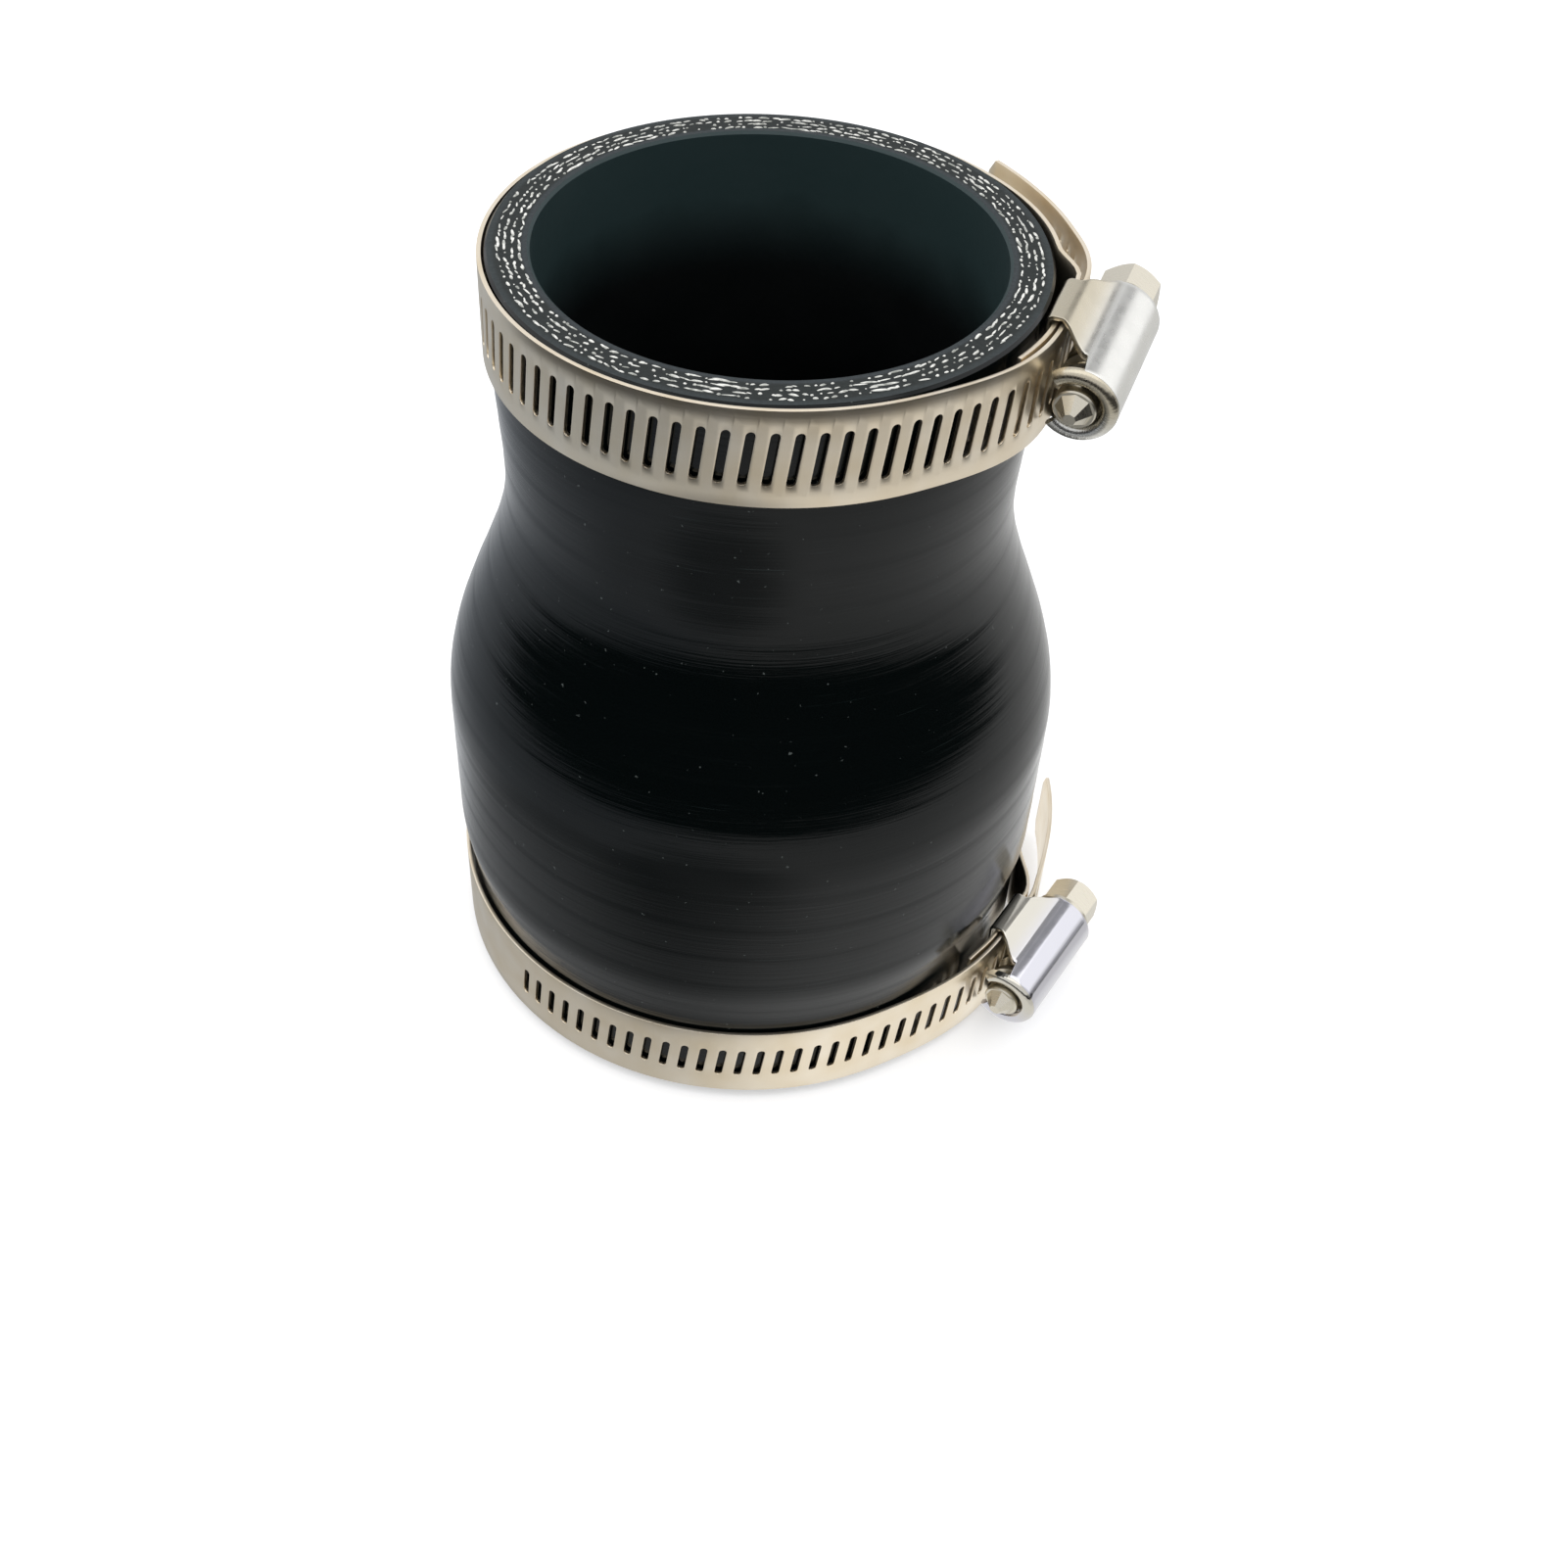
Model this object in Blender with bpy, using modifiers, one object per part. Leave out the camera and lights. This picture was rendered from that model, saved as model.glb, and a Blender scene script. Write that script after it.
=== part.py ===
"""Silicone reducing hose coupler with a worm-drive clamp on each end.

Metres, +Z up. The hose stands on its large end.
"""
import math
from bisect import bisect_right

import bmesh
import bpy
from mathutils import Matrix, Vector

MM = 0.001

# Hose
HOSE_LENGTH = 99.5 * MM
SMALL_BORE = 51.0 * MM
LARGE_BORE = 65.0 * MM
HOSE_WALL = 4.8 * MM
NECK_WAIST = 0.7 * MM          # how far the neck draws in under the small clamp
BELLY_SWELL = 0.9 * MM         # how far the wide body swells over its clamped end
NECK_HEIGHT = 72.0 * MM        # narrowest place outside
SHOULDER_HEIGHT = 38.5 * MM    # the flare reaches the full body here
BELLY_BOTTOM = 21.0 * MM       # the body starts to draw in to the clamped end
BORE_TAPER_TOP = 73.5 * MM
BORE_TAPER_BOTTOM = 37.0 * MM
CUT_EDGE = 0.3 * MM            # chamfer on the trimmed ends

# Clamp stock
BAND_WIDTH = 11.3 * MM
BAND_THICKNESS = 0.5 * MM
SHEET = 0.5 * MM               # housing sheet
GAP = 0.3 * MM                 # between pieces that touch on the real clamp
SLOT_PITCH = 2.4 * MM
SLOT_WIDTH = 0.95 * MM
TAIL_CORNER = 0.9 * MM         # cut off each corner of the tail
CRIMP_EASE = 0.5 * MM          # fall from the clamped seat to the free wall

# Worm screw, along its own axis with zero at the middle of the housing
CREST_RADIUS = 3.0 * MM
CORE_RADIUS = 2.2 * MM
TOOTH_CREST = 0.7 * MM
TOOTH_ROOT = 1.3 * MM
THREAD_TURNS = 5
NECK_RADIUS = 2.35 * MM
POINT_LENGTH = 1.6 * MM
POINT_FLAT_RADIUS = 1.0 * MM
COLLAR_RADIUS = 3.8 * MM
COLLAR_LENGTH = 0.8 * MM
HEAD_FLATS = 6.2 * MM          # across flats
HEAD_LENGTH = 4.2 * MM
HEAD_CHAMFER = 0.45 * MM

# Housing, along the screw from its middle
BARREL_RADIUS = 3.6 * MM       # inside
BARREL_WALL = 0.9 * MM         # the barrel's own wall, thicker than the flanks
BARREL_FRONT = 8.4 * MM
BARREL_BACK = 7.8 * MM
SADDLE_FRONT = 3.0 * MM        # front edge of the flanks, down at the band
SADDLE_BACK = 3.8 * MM         # back edge of the flanks, down at the band
SADDLE_SWEEP = 2.2 * MM        # the flank's front edge leans forward to the barrel
FOOT_REACH = 3.4 * MM          # how far each foot folds in under the band
RING_THICKNESS = 1.0 * MM
BARREL_ANGLE = 100.0           # the barrel turns into the shoulder here
FOLD_RADIUS = 0.7 * MM

# Where each clamp sits: angles in degrees about the hose, 0 along +X, turning left
UPPER_INSET = 0.38 * MM        # band's top edge under the small end's face
UPPER_LEAN = 0.75              # whole clamp tips down towards the next angle
UPPER_LEAN_TO = 80.0
UPPER_HOUSING_ANGLE = -21.1
UPPER_SLIDE = 3.5 * MM        # housing's middle, along the screw from the nearest point
UPPER_TILT = 8.0               # screw axis rises to its head
UPPER_INNER_END = -14.5        # this and the angles below count from the housing
UPPER_LANDING = 25.0           # the inner turn lies on the hose again
UPPER_TAKE_OFF = 38.9          # before the housing, the outer turn leaves the hose
UPPER_SETTLE = 34.1            # the tail has turned back along the hose
UPPER_SETTLE_SLOPE = 0.0 * MM  # rise for each radian there
UPPER_TAIL_END = 64.3
UPPER_TAIL_REST = 3.0 * MM     # tail over the hose where it has settled
UPPER_TAIL_LIFT = 0.9 * MM     # further lift at its end
UPPER_TAIL_SLOPE = 3.3 * MM    # rise for each radian at its end
UPPER_SLOTS_FROM = 208.1
UPPER_SLOTS_TO = 403.0
UPPER_SLOT_LENGTH = 6.2 * MM

LOWER_INSET = 1.0 * MM         # band's bottom edge above the large end's face
LOWER_LEAN = 0.0
LOWER_LEAN_TO = 0.0
LOWER_HOUSING_ANGLE = -32.3
LOWER_SLIDE = 5.2 * MM
LOWER_TILT = 3.0
LOWER_INNER_END = -6.2
LOWER_LANDING = 27.0
LOWER_TAKE_OFF = 29.0
LOWER_SETTLE = 19.5
LOWER_SETTLE_SLOPE = 3.0 * MM
LOWER_TAIL_END = 46.8
LOWER_TAIL_REST = 3.6 * MM
LOWER_TAIL_LIFT = 3.1 * MM
LOWER_TAIL_SLOPE = 7.0 * MM
LOWER_SLOTS_FROM = 256.1
LOWER_SLOTS_TO = 387.0
LOWER_SLOT_LENGTH = 4.9 * MM

# Fineness
HOSE_STEPS = 64
SCREW_STEPS = 20
THREAD_STEPS = 16
PLAIN_STEP = 3.0 * MM          # band's plain stretches are bent in steps of this
PATH_SAMPLES = 900
TILT_FADE = 14.0 * MM          # the band's rise at a tilted housing dies out over this

SMALL_SEAT = SMALL_BORE / 2 + HOSE_WALL
LARGE_SEAT = LARGE_BORE / 2 + HOSE_WALL
SLOT_LEAN = math.atan2(SLOT_PITCH, math.tau * CREST_RADIUS)
CUT_MARGIN = 2.0 * MM          # cutters reach past what they cut


# Scene helpers
def clear_scene():
    for obj in list(bpy.data.objects):
        bpy.data.objects.remove(obj, do_unlink=True)


def new_collection(name):
    collection = bpy.data.collections.new(name)
    bpy.context.scene.collection.children.link(collection)
    return collection


def make_material(name, colour, metallic, roughness):
    material = bpy.data.materials.new(name)
    material.use_nodes = True
    shader = material.node_tree.nodes["Principled BSDF"]
    shader.inputs["Base Color"].default_value = (*colour, 1.0)
    shader.inputs["Metallic"].default_value = metallic
    shader.inputs["Roughness"].default_value = roughness
    material.diffuse_color = (*colour, 1.0)
    return material


def add_object(name, data, collection, material=None):
    obj = bpy.data.objects.new(name, data)
    collection.objects.link(obj)
    if material:
        data.materials.append(material)
    return obj


def as_guide(obj):
    obj.hide_render = True
    obj.display_type = "WIRE"
    return obj


def realised_mesh(obj, name):
    """The mesh an object shows, with its caps and seams welded."""
    bpy.context.view_layer.update()
    shown = obj.evaluated_get(bpy.context.evaluated_depsgraph_get())
    mesh = bpy.data.meshes.new_from_object(shown)
    mesh.name = name
    weld(mesh)
    bpy.data.objects.remove(obj, do_unlink=True)
    return mesh


def weld(mesh):
    bm = bmesh.new()
    bm.from_mesh(mesh)
    bmesh.ops.remove_doubles(bm, verts=bm.verts, dist=0.00001)
    bmesh.ops.recalc_face_normals(bm, faces=bm.faces)
    bm.to_mesh(mesh)
    bm.free()


def boolean(obj, other, operation):
    modifier = obj.modifiers.new(other.name, "BOOLEAN")
    modifier.operation = operation
    modifier.solver = "EXACT"
    modifier.object = other


def shade_round(obj, angle=35.0):
    obj.data.shade_smooth()
    obj.data.set_sharp_from_angle(angle=math.radians(angle))


def outline_mesh(name, outlines, depth, chamfer=0.0):
    """A flat plate from closed outlines, centred on its own plane."""
    curve = bpy.data.curves.new(name, "CURVE")
    curve.dimensions = "2D"
    curve.fill_mode = "BOTH"
    curve.extrude = depth / 2 - chamfer
    curve.bevel_depth = chamfer
    curve.bevel_resolution = 0
    curve.offset = -chamfer
    for outline in outlines:
        add_poly(curve, outline, closed=True)
    obj = add_object(name, curve, bpy.context.scene.collection)
    return realised_mesh(obj, name)


def add_poly(curve, points, closed):
    spline = curve.splines.new("POLY")
    spline.points.add(len(points) - 1)
    for point, (x, y) in zip(spline.points, points):
        point.co = (x, y, 0.0, 1.0)
    spline.use_cyclic_u = closed


def cylinder_mesh(name, radius, depth, segments):
    bm = bmesh.new()
    bmesh.ops.create_cone(
        bm, cap_ends=True, segments=segments, depth=depth, radius1=radius, radius2=radius)
    mesh = bpy.data.meshes.new(name)
    bm.to_mesh(mesh)
    bm.free()
    return mesh


def turned_object(name, profile, steps, collection, material, closed):
    """A profile of (radius, height) points turned about Z."""
    mesh = bpy.data.meshes.new(name)
    verts = [(radius, 0.0, height) for radius, height in profile]
    edges = [(i, i + 1) for i in range(len(verts) - 1)]
    if closed:
        edges.append((len(verts) - 1, 0))
    mesh.from_pydata(verts, edges, [])
    obj = add_object(name, mesh, collection, material)
    turn = obj.modifiers.new("turn", "SCREW")
    turn.axis = "Z"
    turn.steps = steps
    turn.render_steps = steps
    turn.use_merge_vertices = True
    turn.merge_threshold = 0.00005
    turn.use_smooth_shade = True
    return obj


def eased(start, end, count):
    """Points from start to end that leave and arrive level, both ends left out."""
    points = []
    for i in range(1, count):
        t = i / count
        ease = (1 - math.cos(math.pi * t)) / 2
        radius = start[0] + (end[0] - start[0]) * ease
        points.append((radius, start[1] + (end[1] - start[1]) * t))
    return points


def arc(centre, radius, start, end, count):
    """Points on an arc in degrees, both ends included."""
    points = []
    for i in range(count + 1):
        a = math.radians(start + (end - start) * i / count)
        points.append((centre[0] + radius * math.cos(a), centre[1] + radius * math.sin(a)))
    return points


# Hose
def hose_profile():
    """The wall's section: down the outside, then up the bore."""
    seat_low = HOSE_LENGTH - UPPER_INSET - BAND_WIDTH - CRIMP_EASE
    seat_high = LOWER_INSET + BAND_WIDTH + CRIMP_EASE
    neck = (SMALL_SEAT - NECK_WAIST, NECK_HEIGHT)
    shoulder = (LARGE_SEAT + BELLY_SWELL, SHOULDER_HEIGHT)
    belly = (LARGE_SEAT + BELLY_SWELL, BELLY_BOTTOM)
    outside = [(SMALL_SEAT - CUT_EDGE, HOSE_LENGTH), (SMALL_SEAT, HOSE_LENGTH - CUT_EDGE)]
    outside += [(SMALL_SEAT, seat_low)] + eased((SMALL_SEAT, seat_low), neck, 3)
    outside += [neck] + eased(neck, shoulder, 8) + [shoulder, belly]
    outside += eased(belly, (LARGE_SEAT, seat_high), 3) + [(LARGE_SEAT, seat_high)]
    outside += [(LARGE_SEAT, CUT_EDGE), (LARGE_SEAT - CUT_EDGE, 0.0)]
    wide = (LARGE_BORE / 2, BORE_TAPER_BOTTOM)
    narrow = (SMALL_BORE / 2, BORE_TAPER_TOP)
    inside = [(LARGE_BORE / 2 + CUT_EDGE, 0.0), (LARGE_BORE / 2, CUT_EDGE), wide]
    inside += eased(wide, narrow, 8) + [narrow]
    inside += [(SMALL_BORE / 2, HOSE_LENGTH - CUT_EDGE), (SMALL_BORE / 2 + CUT_EDGE, HOSE_LENGTH)]
    return outside + inside


def make_hose(parts, material):
    return turned_object("hose", hose_profile(), HOSE_STEPS, parts, material, closed=True)


# Clamp
class Clamp:
    """One clamp's place on the hose and the heights of its layers over the hose."""

    def __init__(self, name, seat, middle, lean, lean_to, angle, slide, tilt):
        self.name = name
        self.seat = seat
        self.middle = middle
        toward = math.radians(lean_to)
        hinge = Vector((-math.sin(toward), math.cos(toward), 0.0))
        at_middle = Matrix.Translation((0, 0, middle))
        self.lean = at_middle @ Matrix.Rotation(math.radians(lean), 4, hinge) @ at_middle.inverted()
        self.angle = math.radians(angle)
        self.slide = slide
        self.tilt = math.radians(tilt)
        self.wrap = seat + GAP + BAND_THICKNESS / 2
        self.foot = seat + GAP + SHEET / 2
        self.inner = self.foot + SHEET / 2 + GAP + BAND_THICKNESS / 2
        self.outer = self.inner + BAND_THICKNESS + GAP
        self.screw = self.outer + BAND_THICKNESS / 2 + GAP + CREST_RADIUS

    def frame(self):
        """Local X along the screw to its head, Y up, Z out from the hose's axis."""
        along = Vector((-math.sin(self.angle), math.cos(self.angle), 0.0))
        out = Vector((math.cos(self.angle), math.sin(self.angle), 0.0))
        basis = Matrix((along, Vector((0, 0, 1)), out)).transposed().to_4x4()
        centre = along * self.slide + Vector((0, 0, self.middle))
        place = Matrix.Translation(centre) @ basis @ Matrix.Rotation(self.tilt, 4, "Z")
        return self.lean @ place

    def set_route(self, inner_end, landing, take_off, settled, tail_end):
        """Knots of the strip's route seen from above: angle, radius and its slope."""
        front = self.slide - SADDLE_FRONT - SHEET
        back = self.slide + SADDLE_BACK + SHEET
        self.knots = [
            (math.radians(inner_end), self.wrap + GAP, 0.0),
            self.flat_knot(self.inner, front, 0),
            self.flat_knot(self.inner, back, 0),
            (math.radians(landing), self.wrap, 0.0),
            (math.tau - math.radians(take_off), self.wrap, 0.0),
            self.flat_knot(self.outer, front, 1),
            self.flat_knot(self.outer, back, 1),
            self.tail_knot(*settled),
            self.tail_knot(*tail_end)]

    def tail_knot(self, angle, height, slope):
        """A knot of the free tail, by its height over the hose."""
        return math.tau + math.radians(angle), self.seat + height, slope

    def flat_knot(self, distance, along, turns):
        """A knot on the straight stretch through the housing."""
        angle = math.atan2(along, distance)
        radius = math.hypot(along, distance)
        return angle + math.tau * turns, radius, radius * math.tan(angle)

    def radius_at(self, angle):
        """Radius of the strip's middle plane, from its inner end to its tail."""
        last = len(self.knots) - 1
        i = next((i for i in range(1, last) if angle < self.knots[i][0]), last)
        return ease_radius(self.knots[i - 1], self.knots[i], angle)

    def point_at(self, angle):
        """The strip's middle line in space, rising with a tilted housing."""
        radius = self.radius_at(angle)
        turn = self.angle + angle
        along = radius * math.sin(angle) - self.slide
        near = math.cos(angle) > 0
        rise = math.tan(self.tilt) * along * math.exp(-((along / TILT_FADE) ** 2)) if near else 0.0
        return Vector((radius * math.cos(turn), radius * math.sin(turn), self.middle + rise))


def ease_radius(start, end, angle):
    """Cubic from one (angle, radius, slope) to another."""
    span = end[0] - start[0]
    t = (angle - start[0]) / span
    from_start = (1 + 2 * t) * (1 - t) ** 2 * start[1] + t * (1 - t) ** 2 * span * start[2]
    from_end = t * t * (3 - 2 * t) * end[1] + t * t * (t - 1) * span * end[2]
    return from_start + from_end


class Route:
    """The strip's route measured along its length."""

    def __init__(self, clamp):
        self.clamp = clamp
        start, end = clamp.knots[0][0], clamp.knots[-1][0]
        span = end - start
        self.angles = [start + span * i / PATH_SAMPLES for i in range(PATH_SAMPLES + 1)]
        points = [clamp.point_at(angle) for angle in self.angles]
        self.run = [0.0]
        for a, b in zip(points, points[1:]):
            self.run.append(self.run[-1] + (b - a).length)
        self.length = self.run[-1]

    def angle_at(self, run):
        i = min(max(bisect_right(self.run, run) - 1, 0), PATH_SAMPLES - 1)
        share = (run - self.run[i]) / (self.run[i + 1] - self.run[i])
        return self.angles[i] + (self.angles[i + 1] - self.angles[i]) * share

    def run_at(self, angle):
        i = min(max(bisect_right(self.angles, angle) - 1, 0), PATH_SAMPLES - 1)
        share = (angle - self.angles[i]) / (self.angles[i + 1] - self.angles[i])
        return self.run[i] + (self.run[i + 1] - self.run[i]) * share

    def bend(self, flat):
        """A point of the flat strip (along, across, out) where the bent strip has it."""
        angle = self.angle_at(flat.x)
        step = 0.002
        ahead = self.clamp.point_at(angle + step)
        behind = self.clamp.point_at(angle - step)
        along = (ahead - behind).normalized()
        out = along.cross(Vector((0, 0, 1))).normalized()
        return self.clamp.point_at(angle) + Vector((0, 0, flat.y)) + out * flat.z


# Band
def slot_outline(centre, length):
    """A round-ended slot across the strip, leaning with the worm's thread."""
    half = length / 2 - SLOT_WIDTH / 2
    points = arc((0, half), SLOT_WIDTH / 2, 0, 180, 3) + arc((0, -half), SLOT_WIDTH / 2, 180, 360, 3)
    lean = math.tan(SLOT_LEAN)
    return [(centre + x + y * lean, y) for x, y in points]


def make_band(clamp, slots_from, slots_to, slot_length, parts, guides, material):
    route = Route(clamp)
    first = route.run_at(math.radians(slots_from))
    last = route.run_at(math.radians(slots_to))
    count = int((last - first) / SLOT_PITCH) + 1
    slots = [first + SLOT_PITCH * i for i in range(count)]
    bridges = [run - SLOT_PITCH / 2 for run in slots] + [slots[-1] + SLOT_PITCH / 2]
    strip = flat_strip(route.length, bridges)
    flat = add_object(clamp.name + "_flat_strip", strip, guides)
    outlines = [slot_outline(run, slot_length) for run in slots]
    for side in (1, -1):
        edge = side * BAND_WIDTH / 2
        outlines.append([
            (route.length + CUT_MARGIN, edge - side * (TAIL_CORNER + CUT_MARGIN)),
            (route.length + CUT_MARGIN, edge + side * CUT_MARGIN),
            (route.length - TAIL_CORNER - CUT_MARGIN, edge + side * CUT_MARGIN)])
    punch = outline_mesh(clamp.name + "_slot_punch", outlines, BAND_THICKNESS + CUT_MARGIN)
    punch_object = as_guide(add_object(punch.name, punch, guides))
    boolean(flat, punch_object, "DIFFERENCE")
    mesh = realised_mesh(flat, clamp.name + "_band")
    bpy.data.objects.remove(punch_object, do_unlink=True)
    for vertex in mesh.vertices:
        vertex.co = clamp.lean @ route.bend(vertex.co)
    band = add_object(clamp.name + "_band", mesh, parts, material)
    shade_round(band)
    return band


def flat_strip(length, bridges):
    """The strip before it is punched and rolled, with a cut line at each bridge."""
    bm = bmesh.new()
    bmesh.ops.create_cube(bm, size=1.0)
    bmesh.ops.scale(bm, verts=bm.verts, vec=(length, BAND_WIDTH, BAND_THICKNESS))
    bmesh.ops.translate(bm, verts=bm.verts, vec=(length / 2, 0, 0))
    before = plain_steps(0.0, bridges[0])
    after = plain_steps(bridges[-1], length)
    for run in before + bridges + after:
        everything = bm.verts[:] + bm.edges[:] + bm.faces[:]
        bmesh.ops.bisect_plane(bm, geom=everything, plane_co=(run, 0, 0), plane_no=(1, 0, 0))
    mesh = bpy.data.meshes.new("flat_strip")
    bm.to_mesh(mesh)
    bm.free()
    return mesh


def plain_steps(start, end):
    """Evenly spaced cuts between two runs, both ends left out."""
    count = max(1, round((end - start) / PLAIN_STEP))
    return [start + (end - start) * i / count for i in range(1, count)]


# Housing
SECTION = Matrix(((0, 0, 1, 0), (1, 0, 0, 0), (0, 1, 0, 0), (0, 0, 0, 1)))
SIDE_VIEW = Matrix.Rotation(math.radians(90), 4, "X")


def housing_section(clamp):
    """The folded sheet's middle line across the band, as (up, out) points."""
    barrel = BARREL_RADIUS + BARREL_WALL / 2
    side = BAND_WIDTH / 2 + GAP + SHEET / 2
    side_top = clamp.outer + BAND_THICKNESS / 2 + GAP
    right = [(side - FOOT_REACH, clamp.foot)]
    right += arc((side - FOLD_RADIUS, clamp.foot + FOLD_RADIUS), FOLD_RADIUS, -90, 0, 3)
    right.append((side, side_top))
    top = arc((0.0, clamp.screw), barrel, 90 - BARREL_ANGLE, 90 + BARREL_ANGLE, 16)
    left = [(-x, y) for x, y in reversed(right)]
    return right + top + left


def make_housing(clamp, parts, guides, material):
    frame = clamp.frame()
    name = clamp.name + "_housing"
    curve = bpy.data.curves.new(name, "CURVE")
    curve.dimensions = "2D"
    curve.fill_mode = "NONE"
    curve.extrude = (BARREL_FRONT + BARREL_BACK) / 2
    add_poly(curve, housing_section(clamp), closed=False)
    sheet = realised_mesh(add_object(name, curve, bpy.context.scene.collection), name)
    middle = Matrix.Translation(((BARREL_BACK - BARREL_FRONT) / 2, 0, 0))
    sheet.transform(middle @ SECTION)
    housing = add_object(name, sheet, parts, material)
    housing.matrix_world = frame
    thicken = housing.modifiers.new("sheet", "SOLIDIFY")
    thicken.thickness = BARREL_WALL
    thicken.offset = 0.0
    thicken.use_even_offset = True
    thicken.vertex_group = barrel_points(housing, clamp).name
    thicken.thickness_vertex_group = SHEET / BARREL_WALL
    for tool, operation in (
            (flank_cutter(clamp, -1), "DIFFERENCE"),
            (flank_cutter(clamp, 1), "DIFFERENCE"),
            (end_ring(clamp), "UNION")):
        tool_object = as_guide(add_object(tool.name, tool, guides))
        tool_object.matrix_world = frame
        boolean(housing, tool_object, operation)
    shade_round(housing, 30.0)
    return housing


def barrel_points(housing, clamp):
    """The barrel's points, which take its whole wall; the rest takes the sheet's share."""
    group = housing.vertex_groups.new(name="barrel")
    for vertex in housing.data.vertices:
        radius = math.hypot(vertex.co.y, vertex.co.z - clamp.screw)
        if abs(radius - BARREL_RADIUS - BARREL_WALL / 2) < BARREL_WALL / 10:
            group.add([vertex.index], 1.0, "REPLACE")
    return group


def flank_cutter(clamp, side):
    """Takes the flanks and feet away before (-1) or behind (1) the saddle, under the barrel."""
    barrel = BARREL_RADIUS + BARREL_WALL / 2
    crease = clamp.screw + barrel * math.cos(math.radians(BARREL_ANGLE)) - SHEET / 2
    low = clamp.foot - CUT_MARGIN
    if side < 0:
        end, at_band, at_crease = -BARREL_FRONT, -SADDLE_FRONT, -SADDLE_FRONT - SADDLE_SWEEP
    else:
        end, at_band, at_crease = BARREL_BACK, SADDLE_BACK, BARREL_BACK
    past = end + side * CUT_MARGIN
    outline = [(past, low), (at_band, low), (at_band, clamp.outer), (at_crease, crease)]
    outline.append((past, crease))
    name = clamp.name + ("_front_cut" if side < 0 else "_back_cut")
    mesh = outline_mesh(name, [outline], BAND_WIDTH + 4 * CUT_MARGIN)
    mesh.transform(SIDE_VIEW)
    return mesh


def end_ring(clamp):
    """The barrel's front end turned in round the screw's neck, open to the band."""
    rim = BARREL_RADIUS + BARREL_WALL * 0.75
    hole = NECK_RADIUS + GAP
    centre = (0.0, clamp.screw)
    reach = math.degrees(math.acos(-CREST_RADIUS / rim))
    low, high = 90 - reach, 90 + reach
    outline = arc(centre, rim, low, high, 18) + arc(centre, hole, high, low, 14)
    mesh = outline_mesh(clamp.name + "_end_ring", [outline], RING_THICKNESS)
    mesh.transform(Matrix.Translation((-BARREL_FRONT + RING_THICKNESS / 2, 0, 0)) @ SECTION)
    return mesh


# Worm screw
def screw_profile():
    """From the middle of the head's end down to the point."""
    collar_back = BARREL_BACK + GAP
    head_back = collar_back + COLLAR_LENGTH
    tip = -BARREL_FRONT - GAP - POINT_LENGTH
    shoulder = -BARREL_FRONT + RING_THICKNESS + GAP
    return [
        (0.0, head_back + HEAD_LENGTH / 2),
        (CORE_RADIUS, head_back + HEAD_LENGTH / 2),
        (CORE_RADIUS, head_back),
        (COLLAR_RADIUS, head_back),
        (COLLAR_RADIUS, collar_back),
        (CORE_RADIUS, collar_back),
        (CORE_RADIUS, shoulder),
        (NECK_RADIUS, shoulder),
        (NECK_RADIUS, -BARREL_FRONT - GAP),
        (POINT_FLAT_RADIUS, tip),
        (0.0, tip)]


def make_screw(clamp, parts, guides, material):
    name = clamp.name + "_screw"
    frame = clamp.frame() @ Matrix.Translation((0, 0, clamp.screw))
    frame = frame @ Matrix.Rotation(math.radians(90), 4, "Y")
    screw = turned_object(name, screw_profile(), SCREW_STEPS, parts, material, closed=False)
    screw.matrix_world = frame
    for tool, operation in (
            (thread_mesh(name), "UNION"),
            (head_mesh(name, guides), "UNION")):
        tool_object = as_guide(add_object(tool.name, tool, guides))
        tool_object.matrix_world = frame
        boolean(screw, tool_object, operation)
    return screw


def thread_mesh(name):
    """One tooth wound round the core, closed at both ends."""
    back = BARREL_BACK - GAP
    front = -BARREL_FRONT + RING_THICKNESS + 2 * GAP
    start = (front + back - THREAD_TURNS * SLOT_PITCH) / 2
    root = CORE_RADIUS - GAP
    profile = [
        (CREST_RADIUS, start + TOOTH_CREST / 2),
        (CREST_RADIUS, start - TOOTH_CREST / 2),
        (root, start - TOOTH_ROOT / 2),
        (root, start + TOOTH_ROOT / 2)]
    collection = bpy.context.scene.collection
    tooth = turned_object(name + "_thread", profile, THREAD_STEPS, collection, None, closed=True)
    turn = tooth.modifiers["turn"]
    turn.screw_offset = SLOT_PITCH
    turn.iterations = THREAD_TURNS
    turn.use_merge_vertices = False
    mesh = realised_mesh(tooth, name + "_thread")
    bm = bmesh.new()
    bm.from_mesh(mesh)
    bmesh.ops.holes_fill(bm, edges=[e for e in bm.edges if e.is_boundary], sides=len(profile))
    bmesh.ops.recalc_face_normals(bm, faces=bm.faces)
    bm.to_mesh(mesh)
    bm.free()
    return mesh


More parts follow.
